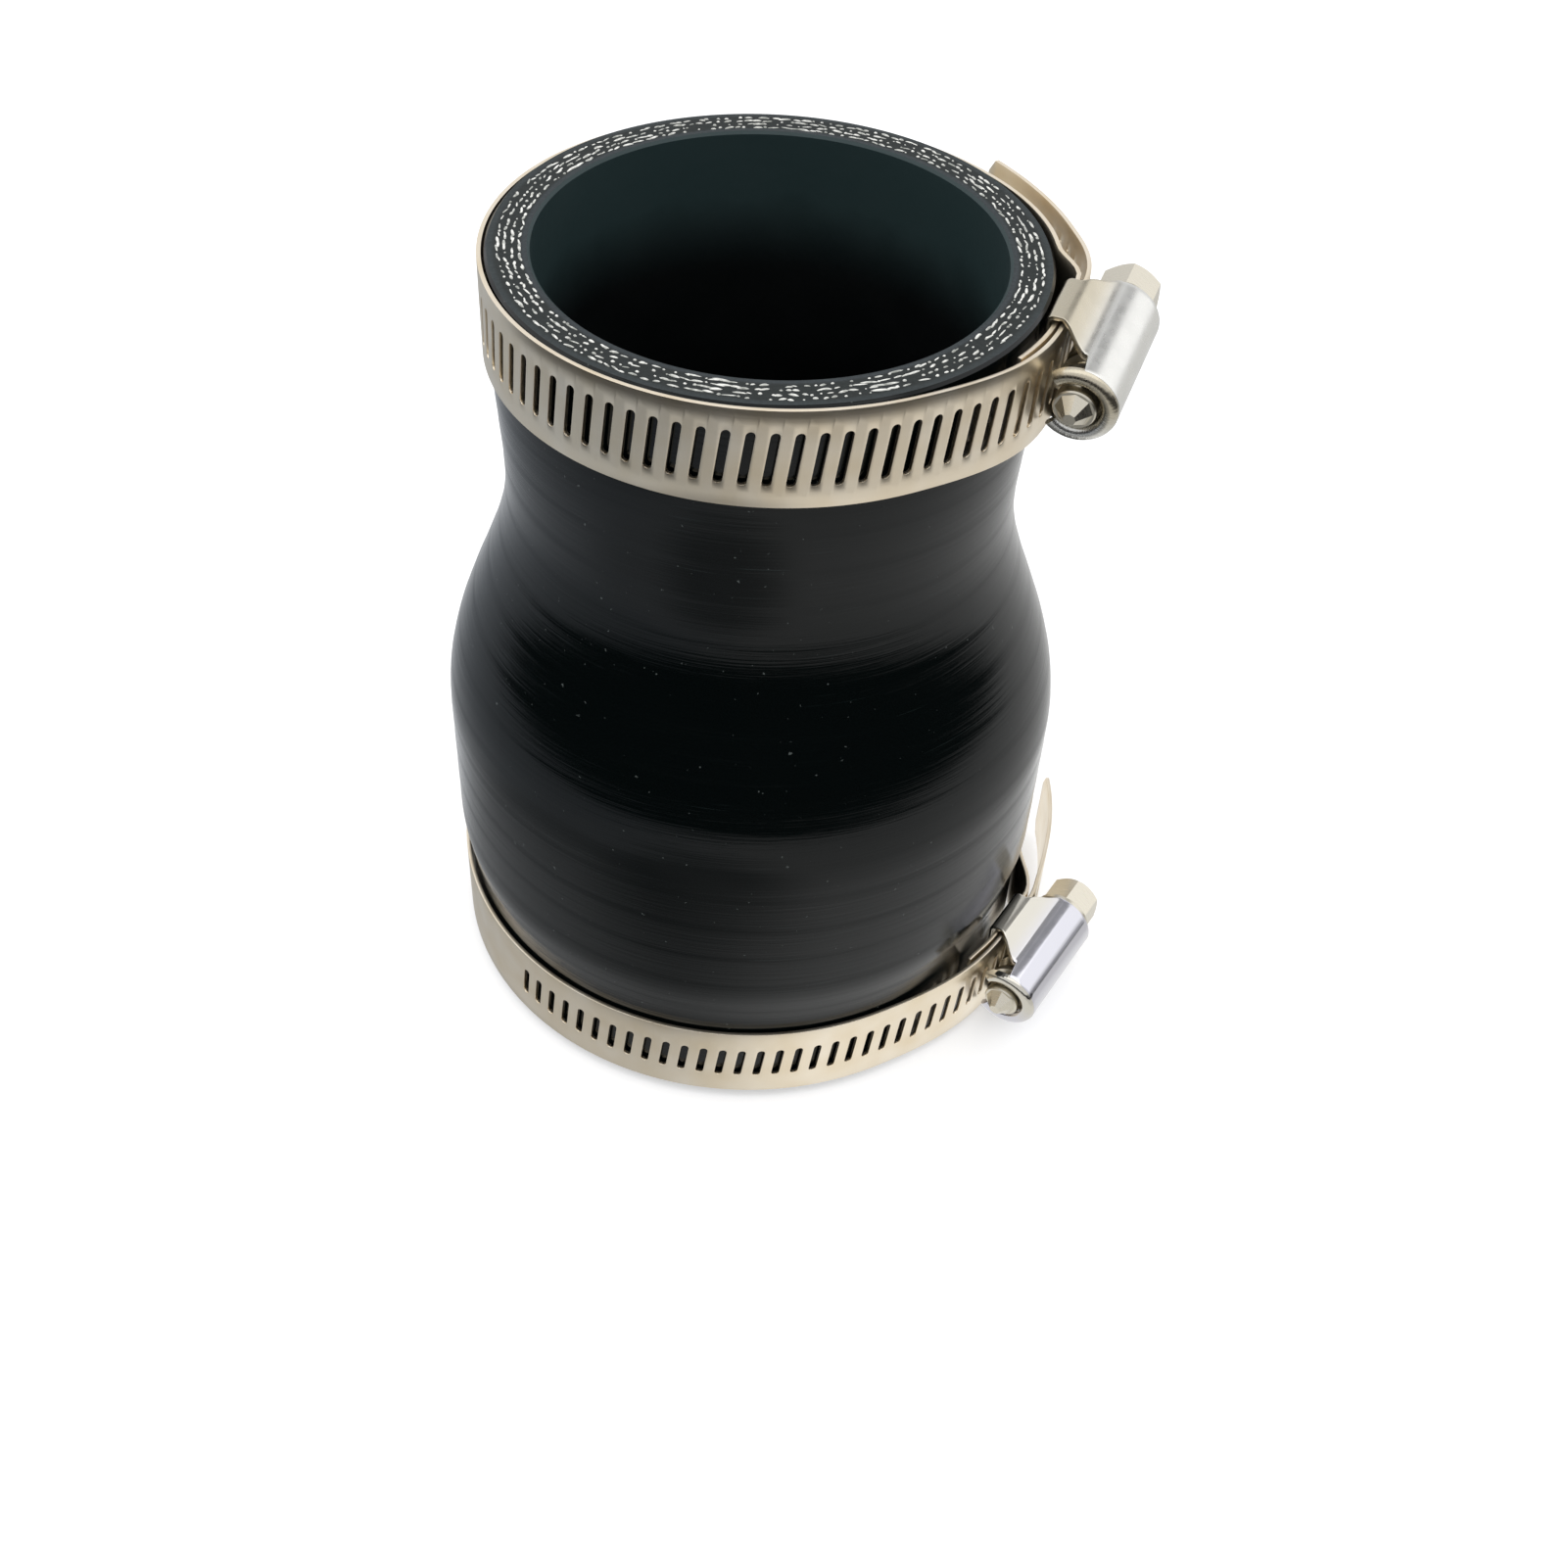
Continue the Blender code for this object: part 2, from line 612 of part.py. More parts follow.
def head_mesh(name, guides):
    """Hexagon whose outer end is turned to a chamfer."""
    bottom = BARREL_BACK + GAP + COLLAR_LENGTH
    corner = HEAD_FLATS / 2 / math.cos(math.radians(30))
    hexagon = cylinder_mesh(name + "_head", corner, HEAD_LENGTH, 6)
    hexagon.transform(Matrix.Translation((0, 0, bottom + HEAD_LENGTH / 2)))
    top = bottom + HEAD_LENGTH
    blank_profile = [
        (0.0, top),
        (HEAD_FLATS / 2 - HEAD_CHAMFER / 2, top),
        (corner + GAP, top - HEAD_CHAMFER * 2),
        (corner + GAP, bottom - GAP),
        (0.0, bottom - GAP)]
    collection = bpy.context.scene.collection
    blank = turned_object(name + "_head_blank", blank_profile, 24, collection, None, closed=False)
    blank_mesh = realised_mesh(blank, name + "_head_blank")
    blank_object = as_guide(add_object(blank_mesh.name, blank_mesh, guides))
    head = add_object(hexagon.name, hexagon, collection)
    boolean(head, blank_object, "INTERSECT")
    mesh = realised_mesh(head, name + "_head")
    bpy.data.objects.remove(blank_object, do_unlink=True)
    return mesh


# Frame
def centre_over_base(parts, guides):
    """Moves everything so that the whole object's box stands centred on the origin."""
    bpy.context.view_layer.update()
    depsgraph = bpy.context.evaluated_depsgraph_get()
    corners = []
    for obj in parts.objects:
        shown = obj.evaluated_get(depsgraph)
        corners += [shown.matrix_world @ vertex.co for vertex in shown.data.vertices]
    low = [min(corner[i] for corner in corners) for i in range(3)]
    high = [max(corner[i] for corner in corners) for i in range(3)]
    shift = Vector(((low[0] + high[0]) / 2, (low[1] + high[1]) / 2, low[2]))
    for obj in list(parts.objects) + list(guides.objects):
        obj.location -= shift


def main():
    clear_scene()
    parts = new_collection("silicone_reducing_hose_coupler")
    guides = new_collection("cutters")
    rubber = make_material("silicone_rubber", (0.012, 0.017, 0.018), 0.0, 0.35)
    band_steel = make_material("rolled_stainless_steel", (0.66, 0.62, 0.57), 1.0, 0.22)
    housing_steel = make_material("pressed_stainless_steel", (0.74, 0.73, 0.71), 1.0, 0.2)
    screw_steel = make_material("turned_stainless_steel", (0.7, 0.68, 0.62), 1.0, 0.3)

    make_hose(parts, rubber)

    upper = Clamp("upper", SMALL_SEAT, HOSE_LENGTH - UPPER_INSET - BAND_WIDTH / 2,
                  UPPER_LEAN, UPPER_LEAN_TO, UPPER_HOUSING_ANGLE, UPPER_SLIDE, UPPER_TILT)
    upper.set_route(
        UPPER_INNER_END, UPPER_LANDING, UPPER_TAKE_OFF,
        (UPPER_SETTLE, UPPER_TAIL_REST, UPPER_SETTLE_SLOPE),
        (UPPER_TAIL_END, UPPER_TAIL_REST + UPPER_TAIL_LIFT, UPPER_TAIL_SLOPE))
    lower = Clamp("lower", LARGE_SEAT, LOWER_INSET + BAND_WIDTH / 2,
                  LOWER_LEAN, LOWER_LEAN_TO, LOWER_HOUSING_ANGLE, LOWER_SLIDE, LOWER_TILT)
    lower.set_route(
        LOWER_INNER_END, LOWER_LANDING, LOWER_TAKE_OFF,
        (LOWER_SETTLE, LOWER_TAIL_REST, LOWER_SETTLE_SLOPE),
        (LOWER_TAIL_END, LOWER_TAIL_REST + LOWER_TAIL_LIFT, LOWER_TAIL_SLOPE))

    slots = {
        "upper": (UPPER_SLOTS_FROM, UPPER_SLOTS_TO, UPPER_SLOT_LENGTH),
        "lower": (LOWER_SLOTS_FROM, LOWER_SLOTS_TO, LOWER_SLOT_LENGTH)}
    for clamp in (upper, lower):
        make_band(clamp, *slots[clamp.name], parts, guides, band_steel)
        make_housing(clamp, parts, guides, housing_steel)
        make_screw(clamp, parts, guides, screw_steel)
    centre_over_base(parts, guides)


main()
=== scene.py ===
# %% [markdown]
# # A silicone reducing hose coupler, dressed for its portrait
#
# The real object joins two pipes of different bore. Four plies of polyester
# fabric and black silicone are wrapped on a mandrel, bound with tape and cured,
# so the hose is one soft piece. A perforated stainless band, its pressed
# housing and a worm screw clamp each end. The CAD model gives the true places
# and sizes. This lesson makes the fine surfaces and the finishes over it.

# %% Load the frame
import math

import bmesh
import bpy
from mathutils import Matrix, Vector


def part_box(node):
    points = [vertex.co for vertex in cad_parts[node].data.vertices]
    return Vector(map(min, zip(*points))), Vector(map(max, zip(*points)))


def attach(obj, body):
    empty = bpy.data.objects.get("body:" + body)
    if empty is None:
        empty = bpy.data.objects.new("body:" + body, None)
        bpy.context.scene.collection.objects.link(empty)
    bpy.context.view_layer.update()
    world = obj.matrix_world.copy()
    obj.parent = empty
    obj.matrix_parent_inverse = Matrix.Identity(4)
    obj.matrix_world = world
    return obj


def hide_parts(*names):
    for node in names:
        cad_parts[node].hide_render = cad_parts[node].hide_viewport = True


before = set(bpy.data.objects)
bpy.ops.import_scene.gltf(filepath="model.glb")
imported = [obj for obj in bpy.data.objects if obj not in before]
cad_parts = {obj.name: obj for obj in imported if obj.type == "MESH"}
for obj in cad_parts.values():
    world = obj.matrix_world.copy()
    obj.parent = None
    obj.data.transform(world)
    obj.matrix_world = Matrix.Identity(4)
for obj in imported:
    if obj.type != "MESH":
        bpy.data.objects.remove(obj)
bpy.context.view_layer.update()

# %% [markdown]
# ## Sizes
#
# Everything is in metres, so one constant turns millimetres into metres. The
# names match the parts of the real clamp and hose. The hose's axis doesn't stand
# at x = 0, because the clamp housings stick out on one side, so its place is
# read from the CAD hose's box instead of being typed.

# %% Hose sizes
MM = 0.001
HOSE_LENGTH = 99.5 * MM
SMALL_BORE = 51.0 * MM
LARGE_BORE = 65.0 * MM
HOSE_WALL = 4.8 * MM
NECK_WAIST = 0.7 * MM
BELLY_SWELL = 0.9 * MM
NECK_HEIGHT = 72.0 * MM
SHOULDER_HEIGHT = 38.5 * MM
BELLY_BOTTOM = 21.0 * MM
BORE_TAPER_TOP = 73.5 * MM
BORE_TAPER_BOTTOM = 37.0 * MM
CUT_EDGE = 0.3 * MM
CRIMP_EASE = 0.5 * MM
SMALL_SEAT = SMALL_BORE / 2 + HOSE_WALL
LARGE_SEAT = LARGE_BORE / 2 + HOSE_WALL

low, high = (Vector(corner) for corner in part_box("hose"))
AXIS = Vector(((low.x + high.x) / 2, (low.y + high.y) / 2, 0.0))
print("hose axis at", [round(value / MM, 3) for value in AXIS], "mm")

# %% Clamp sizes
BAND_WIDTH = 11.3 * MM
BAND_THICKNESS = 0.5 * MM
SHEET = 0.5 * MM
GAP = 0.3 * MM
SLOT_PITCH = 2.4 * MM
SLOT_WIDTH = 0.95 * MM
TAIL_CORNER = 0.9 * MM
CREST_RADIUS = 3.0 * MM
CORE_RADIUS = 2.2 * MM
TOOTH_CREST = 0.7 * MM
TOOTH_ROOT = 1.3 * MM
THREAD_TURNS = 5
NECK_RADIUS = 2.35 * MM
POINT_LENGTH = 1.6 * MM
POINT_FLAT_RADIUS = 1.0 * MM
COLLAR_RADIUS = 3.8 * MM
COLLAR_LENGTH = 0.8 * MM
HEAD_FLATS = 6.2 * MM
HEAD_LENGTH = 4.2 * MM
BARREL_RADIUS = 3.6 * MM
BARREL_FRONT = 8.4 * MM
BARREL_BACK = 7.8 * MM
SADDLE_FRONT = 3.0 * MM
SADDLE_BACK = 3.8 * MM
SADDLE_SWEEP = 2.2 * MM
FOOT_REACH = 3.4 * MM
RING_THICKNESS = 1.0 * MM
BARREL_WALL = 0.9 * MM
BARREL_ANGLE = 100.0
FOLD_RADIUS = 0.7 * MM
TILT_FADE = 14.0 * MM
SLOT_LEAN = SLOT_PITCH / (math.tau * CREST_RADIUS)
WELD = 0.01 * MM               # points nearer than this become one

# %% [markdown]
# ## The camera
#
# The photograph looks down into the small bore from about 45 degrees. The
# camera's place, turn and lens were solved from the ellipses of the rims and
# the outline of the body, so the render lies over the photograph. Distances
# are counted from the hose's axis.

# %% Camera
CAMERA_BACK = 185.26 * MM
CAMERA_HEIGHT = 203.5 * MM
CAMERA_YAW = math.radians(1.56)
CAMERA_DOWN = math.radians(44.909)
CAMERA_ROLL = math.radians(3.704)
FOCAL_PIXELS = 1967.3
IMAGE_PIXELS = 1601
SENSOR = 36.0

ahead = Vector((
    math.sin(CAMERA_YAW) * math.cos(CAMERA_DOWN),
    math.cos(CAMERA_YAW) * math.cos(CAMERA_DOWN),
    -math.sin(CAMERA_DOWN)))
level_right = ahead.cross(Vector((0, 0, 1))).normalized()
level_up = level_right.cross(ahead)
right = level_right * math.cos(CAMERA_ROLL) + level_up * math.sin(CAMERA_ROLL)
up = -level_right * math.sin(CAMERA_ROLL) + level_up * math.cos(CAMERA_ROLL)

camera_data = bpy.data.cameras.new("camera")
camera_data.sensor_width = SENSOR
camera_data.lens = FOCAL_PIXELS / IMAGE_PIXELS * SENSOR
camera_data.clip_start = 0.01
camera = bpy.data.objects.new("camera", camera_data)
bpy.context.scene.collection.objects.link(camera)
turn = Matrix((right, up, -ahead)).transposed().to_4x4()
camera.matrix_world = Matrix.Translation(AXIS + Vector((0, -CAMERA_BACK, CAMERA_HEIGHT))) @ turn
bpy.context.scene.camera = camera
print("lens", round(camera_data.lens, 2), "mm")

# %% [markdown]
# ## Small helpers
#
# Colours are written as sRGB hex codes, the way they look on a screen, and one
# function turns them into the linear values that shaders use. Another adds a
# node with its settings and with what feeds it, so that a material reads as a
# list. An input takes a value, a socket, or a node, which stands for its first
# output.

# %% Colour and node helpers
def from_hex(code):
    """Linear RGBA from an sRGB hex colour."""
    values = []
    for i in (1, 3, 5):
        s = int(code[i:i + 2], 16) / 255
        values.append(s / 12.92 if s <= 0.04045 else ((s + 0.055) / 1.055) ** 2.4)
    return (*values, 1.0)


def feed(node, inputs):
    """Sets inputs of a node, each to a value, a socket or a node's first output."""
    for name, value in inputs.items():
        if isinstance(value, bpy.types.Node):
            value = value.outputs[0]
        if isinstance(value, bpy.types.NodeSocket):
            node.id_data.links.new(value, node.inputs[name])
        else:
            node.inputs[name].default_value = value


def add_node(tree, kind, inputs=None, **settings):
    """A node with its settings and what feeds it."""
    node = tree.nodes.new(kind)
    for name, value in settings.items():
        setattr(node, name, value)
    feed(node, inputs or {})
    return node


def start_material(name, colour, metallic, roughness, ior=1.5):
    """A material with its one shader, ready for patterns."""
    material = bpy.data.materials.new(name)
    material.use_nodes = True
    material.diffuse_color = from_hex(colour)
    tree = material.node_tree
    shader = tree.nodes["Principled BSDF"]
    feed(shader, {
        "Base Color": from_hex(colour), "Metallic": metallic, "Roughness": roughness, "IOR": ior})
    return material, tree, shader


# %% Mesh helpers
def add_object(name, data, material=None):
    obj = bpy.data.objects.new(name, data)
    bpy.context.scene.collection.objects.link(obj)
    if material:
        data.materials.append(material)
    return obj


def made_plain(obj):
    """Gives the object the mesh that its modifiers make, with its place in the mesh."""
    bpy.context.view_layer.update()
    depsgraph = bpy.context.evaluated_depsgraph_get()
    shown = obj.evaluated_get(depsgraph)
    mesh = bpy.data.meshes.new_from_object(shown, preserve_all_data_layers=True, depsgraph=depsgraph)
    mesh.transform(obj.matrix_world)
    name = obj.name
    bpy.data.objects.remove(obj, do_unlink=True)
    plain = bpy.data.objects.new(name, mesh)
    bpy.context.scene.collection.objects.link(plain)
    mesh.name = name
    return plain


def smooth_by_angle(obj, degrees):
    obj.data.shade_smooth()
    obj.data.set_sharp_from_angle(angle=math.radians(degrees))


def triangles(obj):
    return sum(len(polygon.vertices) - 2 for polygon in obj.data.polygons)


def arc(centre, radius, start, end, count):
    """Points on an arc in degrees, both ends included."""
    points = []
    for i in range(count + 1):
        a = math.radians(start + (end - start) * i / count)
        points.append((centre[0] + radius * math.cos(a), centre[1] + radius * math.sin(a)))
    return points


# %% [markdown]
# ## Black silicone cover
#
# The outside of the hose is high-consistency silicone rubber, cured under a
# tight wrap of nylon tape. It is black with a little green, smooth but not
# polished, and it keeps the print of the tape: thin lines that run nearly level
# round the hose, a few of them scraped pale. The pattern reads the piece's own
# coordinates: a noise that is stretched round the hose and squeezed along it
# gives the lines. Solid silicone has an index of about 1.41, but the tape's
# print scatters part of the reflection, and 1.33 gives the same darkness.

# %% Silicone cover material
def hose_millimetres(tree, lean=0.0):
    """The place on the hose, in millimetres from its axis."""
    place = add_node(tree, "ShaderNodeTexCoord").outputs["Object"]
    centred = add_node(tree, "ShaderNodeVectorMath", {0: place, 1: AXIS}, operation="SUBTRACT")
    return add_node(
        tree, "ShaderNodeMapping",
        {"Vector": centred, "Scale": (1 / MM,) * 3, "Rotation": (lean, 0, 0)})


silicone_cover, tree, shader = start_material("cured_black_silicone", "#040808", 0.0, 0.12, ior=1.33)
place = hose_millimetres(tree, lean=math.radians(1.3))
ring_lines = add_node(
    tree, "ShaderNodeVectorMath", {0: place, 1: (0.03, 0.03, 1.7)}, operation="MULTIPLY")
tape_print = add_node(
    tree, "ShaderNodeTexNoise", {"Vector": ring_lines, "Scale": 1.0, "Detail": 5.0, "Roughness": 0.62})
scrape_lines = add_node(
    tree, "ShaderNodeVectorMath", {0: place, 1: (0.07, 0.07, 4.2)}, operation="MULTIPLY")
scrapes = add_node(
    tree, "ShaderNodeTexNoise", {"Vector": scrape_lines, "Scale": 1.0, "Detail": 3.0, "Roughness": 0.5})
scraped = add_node(tree, "ShaderNodeMapRange", {"Value": scrapes, "From Min": 0.66, "From Max": 0.78})
patches = add_node(tree, "ShaderNodeTexNoise", {"Vector": place, "Scale": 0.045, "Detail": 2.0})
patched = add_node(tree, "ShaderNodeMapRange", {"Value": patches, "From Min": 0.42, "From Max": 0.62})
scrape_mask = add_node(tree, "ShaderNodeMath", {0: scraped, 1: patched}, operation="MULTIPLY")
dust = add_node(tree, "ShaderNodeTexNoise", {"Vector": place, "Scale": 1.5, "Detail": 2.0})
dusty = add_node(
    tree, "ShaderNodeMapRange", {"Value": dust, "From Min": 0.735, "From Max": 0.78, "To Max": 0.5})
pale = add_node(
    tree, "ShaderNodeMix",
    {"Factor": scrape_mask, "A": from_hex("#040808"), "B": from_hex("#283030")},
    data_type="RGBA")
speckled = add_node(
    tree, "ShaderNodeMix",
    {"Factor": dusty, "A": pale.outputs["Result"], "B": from_hex("#6d7371")},
    data_type="RGBA")
# The tape leaves the rubber between the lines a little glossier.
gloss = add_node(tree, "ShaderNodeMapRange", {"Value": tape_print, "To Min": 0.05, "To Max": 0.19})
relief = add_node(
    tree, "ShaderNodeBump", {"Height": tape_print, "Strength": 0.3, "Distance": 0.06 * MM})
fine_relief = add_node(
    tree, "ShaderNodeBump",
    {"Height": scrapes, "Strength": 0.3, "Distance": 0.05 * MM, "Normal": relief})
feed(shader, {"Base Color": speckled.outputs["Result"], "Roughness": gloss, "Normal": fine_relief})
print("made", silicone_cover.name)

# %% [markdown]
# ## Cut face and bore
#
# The ends are sliced with a knife, which leaves matt grey rubber. The middle of
# the wall, where the fabric lies, is darker than the plain liner and cover. The
# face carries an attribute, `wall`, that runs from 0 at the bore to 1 outside,
# so one ramp serves both ends. The bore was moulded on the mandrel: it is dull
# and slightly mottled, with no tape lines. Painted light makes it paler inside
# the mouth, and painted shade keeps it nearly black deeper down.

# %% Cut face and bore materials
cut_silicone, tree, shader = start_material("knife_cut_silicone", "#2a3032", 0.0, 0.78, ior=1.41)
place = hose_millimetres(tree)
wall = add_node(tree, "ShaderNodeAttribute", attribute_name="wall")
layers = add_node(tree, "ShaderNodeValToRGB", {"Fac": wall.outputs["Fac"]})
layers.color_ramp.elements[0].color = from_hex("#2c3233")
layers.color_ramp.elements[1].color = from_hex("#2a3033")
for position, colour in (
        (0.14, "#31373a"), (0.22, "#1f2423"), (0.76, "#202524"), (0.84, "#2d3334"), (0.94, "#303637")):
    layers.color_ramp.elements.new(position).color = from_hex(colour)
grain = add_node(
    tree, "ShaderNodeTexNoise", {"Vector": place, "Scale": 2.2, "Detail": 4.0, "Roughness": 0.6})
mottled = add_node(
    tree, "ShaderNodeMix",
    {"Factor": 0.5, "A": layers.outputs["Color"], "B": grain},
    data_type="RGBA", blend_type="OVERLAY")
knife = add_node(
    tree, "ShaderNodeTexNoise", {"Vector": place, "Scale": 0.9, "Detail": 5.0, "Roughness": 0.7})
cut_relief = add_node(tree, "ShaderNodeBump", {"Height": knife, "Strength": 0.6, "Distance": 0.25 * MM})
feed(shader, {"Base Color": mottled.outputs["Result"], "Normal": cut_relief})

bore_silicone, tree, shader = start_material("mandrel_moulded_silicone", "#0a1011", 0.0, 0.5, ior=1.41)
place = hose_millimetres(tree)
cloud = add_node(tree, "ShaderNodeTexNoise", {"Vector": place, "Scale": 0.12, "Detail": 3.0})
up_the_bore = add_node(tree, "ShaderNodeSeparateXYZ", {0: place}).outputs["Z"]
# Painted light and shade: paler towards the mouth, nearly black deeper in the bore.
painted_mouth_light = add_node(
    tree, "ShaderNodeMapRange", {"Value": up_the_bore, "From Min": 81.0, "From Max": 98.5},
    interpolation_type="SMOOTHSTEP")
mottled_mouth_light = add_node(tree, "ShaderNodeMath", {0: painted_mouth_light, 1: cloud, 2: painted_mouth_light}, operation="MULTIPLY_ADD")
bore_colour_with_painted_light = add_node(
    tree, "ShaderNodeMix",
    {"Factor": mottled_mouth_light, "A": from_hex("#030607"), "B": from_hex("#273839")},
    data_type="RGBA")
dull = add_node(tree, "ShaderNodeMapRange", {"Value": cloud, "To Min": 0.42, "To Max": 0.62})
fabric_print = add_node(tree, "ShaderNodeTexNoise", {"Vector": place, "Scale": 0.7, "Detail": 3.0})
bore_relief = add_node(
    tree, "ShaderNodeBump", {"Height": fabric_print, "Strength": 0.25, "Distance": 0.15 * MM})
feed(shader, {"Base Color": bore_colour_with_painted_light.outputs["Result"], "Roughness": dull, "Normal": bore_relief})
print("made", cut_silicone.name, "and", bore_silicone.name)

# %% [markdown]
# ## Polyester yarn
#
# Cut polyester yarn is bright white to cream, and soft: each end is a brush of
# filaments. A little sheen stands for the fuzz. Slow noise varies the tone from
# end to end, because some are pulled under the rubber and look greyer.

# %% Yarn material
polyester_yarn, tree, shader = start_material("cut_polyester_yarn", "#dedcd2", 0.0, 0.62, ior=1.54)
feed(shader, {"Sheen Weight": 0.4, "Sheen Roughness": 0.5})
place = hose_millimetres(tree)
tone = add_node(tree, "ShaderNodeTexNoise", {"Vector": place, "Scale": 1.1, "Detail": 2.0})
toned = add_node(tree, "ShaderNodeMapRange", {"Value": tone, "From Min": 0.35, "From Max": 0.6})
yarn_colour = add_node(
    tree, "ShaderNodeMix",
    {"Factor": toned, "A": from_hex("#9a9c94"), "B": from_hex("#f4f3ec")},
    data_type="RGBA")
feed(shader, {"Base Color": yarn_colour.outputs["Result"]})
print("made", polyester_yarn.name)

# %% [markdown]
# ## Stainless steel, three ways
#
# The band is rolled strip: warm, bright, with a fine grain along its length.
# The housings are pressed from smooth sheet, so they have almost no grain but
# gentle dents that bend their reflections. Their flanks are painted darker and
# warmer than the barrel, as painted shade and a painted reflection of a warm
# room. The lower housing kept more of its polish. The screw is turned, which
# leaves fine rings round its axis. It is one metal, so only the roughness, the
# tint and the direction of the grain change.
# The pieces carry an attribute, `sheet`, with the place on the flat metal in
# millimetres, so that the grain follows the bends.

# %% Steel materials
rolled_steel, tree, shader = start_material("rolled_stainless_strip", "#ece0c8", 1.0, 0.32)
flat_place = add_node(tree, "ShaderNodeAttribute", attribute_name="sheet").outputs["Vector"]
along_grain = add_node(
    tree, "ShaderNodeVectorMath", {0: flat_place, 1: (0.15, 9.0, 1.0)}, operation="MULTIPLY")
grain = add_node(tree, "ShaderNodeTexNoise", {"Vector": along_grain, "Scale": 1.0, "Detail": 3.0})
blotch = add_node(tree, "ShaderNodeTexNoise", {"Vector": flat_place, "Scale": 0.22, "Detail": 1.0})
grained = add_node(tree, "ShaderNodeMapRange", {"Value": grain, "To Min": 0.24, "To Max": 0.4})
tint = add_node(
    tree, "ShaderNodeMix",
    {"Factor": blotch, "A": from_hex("#e3d2b3"), "B": from_hex("#f6eddd")},
    data_type="RGBA")
grain_relief = add_node(
    tree, "ShaderNodeBump", {"Height": grain, "Strength": 0.12, "Distance": 0.02 * MM})
ripple = add_node(
    tree, "ShaderNodeBump",
    {"Height": blotch, "Strength": 0.25, "Distance": 0.08 * MM, "Normal": grain_relief})
feed(shader, {"Base Color": tint.outputs["Result"], "Roughness": grained, "Normal": ripple})


# %% Pressed and turned steel
def pressed_sheet(name, flank, barrel, smooth, rough):
    """Pressed sheet with painted shade on the flanks, whose roughness wanders between two values."""
    material, tree, shader = start_material(name, barrel, 1.0, (smooth + rough) / 2)
    burnished = add_node(tree, "ShaderNodeAttribute", attribute_name="burnished").outputs["Fac"]
    tint = add_node(
        tree, "ShaderNodeMix", {"Factor": burnished, "A": from_hex(flank), "B": from_hex(barrel)},
        data_type="RGBA")
    feed(shader, {"Base Color": tint.outputs["Result"]})
    flat_place = add_node(tree, "ShaderNodeAttribute", attribute_name="sheet").outputs["Vector"]
    dents = add_node(tree, "ShaderNodeTexNoise", {"Vector": flat_place, "Scale": 0.22, "Detail": 0.0})
    scuffs = add_node(tree, "ShaderNodeTexNoise", {"Vector": flat_place, "Scale": 0.5, "Detail": 2.0})
    scuffed = add_node(
        tree, "ShaderNodeMapRange",
        {"Value": scuffs, "From Min": 0.35, "From Max": 0.7, "To Min": smooth, "To Max": rough})
    relief = add_node(tree, "ShaderNodeBump", {"Height": dents, "Strength": 0.3, "Distance": 0.1 * MM})
    feed(shader, {"Roughness": scuffed, "Normal": relief})
    return material


# The flank colours are painted shade and a painted warm reflection, darker than the barrels.
satin_steel = pressed_sheet("satin_pressed_stainless", "#bfb7a4", "#dad9d4", 0.24, 0.34)
mirror_steel = pressed_sheet("polished_pressed_stainless", "#cbc7bc", "#cccbd1", 0.1, 0.16)

turned_steel, tree, shader = start_material("turned_stainless_bar", "#cfc9ba", 1.0, 0.28)
flat_place = add_node(tree, "ShaderNodeAttribute", attribute_name="sheet").outputs["Vector"]
tool_marks = add_node(
    tree, "ShaderNodeVectorMath", {0: flat_place, 1: (0.3, 0.3, 6.0)}, operation="MULTIPLY")
rings = add_node(tree, "ShaderNodeTexNoise", {"Vector": tool_marks, "Scale": 1.0, "Detail": 2.0})
turned = add_node(tree, "ShaderNodeMapRange", {"Value": rings, "To Min": 0.2, "To Max": 0.38})
ring_relief = add_node(
    tree, "ShaderNodeBump", {"Height": rings, "Strength": 0.15, "Distance": 0.02 * MM})
feed(shader, {"Roughness": turned, "Normal": ring_relief})
print("made", rolled_steel.name, satin_steel.name, mirror_steel.name, turned_steel.name)

# %% [markdown]
# ## The hose
#
# The hose is a turned shape, so one profile and a Screw modifier make it. The
# profile runs down the outside and up the bore. Between straight stretches it
# eases with a cosine, which gives the soft S of the shoulder. The tape leaves
# real steps about a twentieth of a millimetre high that climb round the hose, so
# the turned mesh then gets a small helical displacement.

# %% Hose profile
UPPER_INSET = 0.38 * MM        # from the small end's face to its band
LOWER_INSET = 1.0 * MM         # from the large end's face to its band
FABRIC_DEPTH = 0.12 * MM       # the fabric sinks in the lower cut, so its ends don't stand proud
COVER = 1.0 * MM               # plain rubber outside the plies
LINER = 0.9 * MM               # plain rubber inside them
OUTSIDE_ROW = 0.4 * MM
BORE_ROW = 1.2 * MM
HOSE_STEPS = 192


def eased(start, end, step):
    """Points that leave start level and arrive at end level, both ends left out."""
    count = max(2, round(abs(end[1] - start[1]) / step))
    points = []
    for i in range(1, count):
        t = i / count
        ease = (1 - math.cos(math.pi * t)) / 2
        points.append((start[0] + (end[0] - start[0]) * ease, start[1] + (end[1] - start[1]) * t))
    return points


def straight(start, end, step):
    """Evenly spaced points between two, both ends left out."""
    count = max(1, round(math.dist(start, end) / step))
    return [
        (start[0] + (end[0] - start[0]) * i / count, start[1] + (end[1] - start[1]) * i / count)
        for i in range(1, count)]


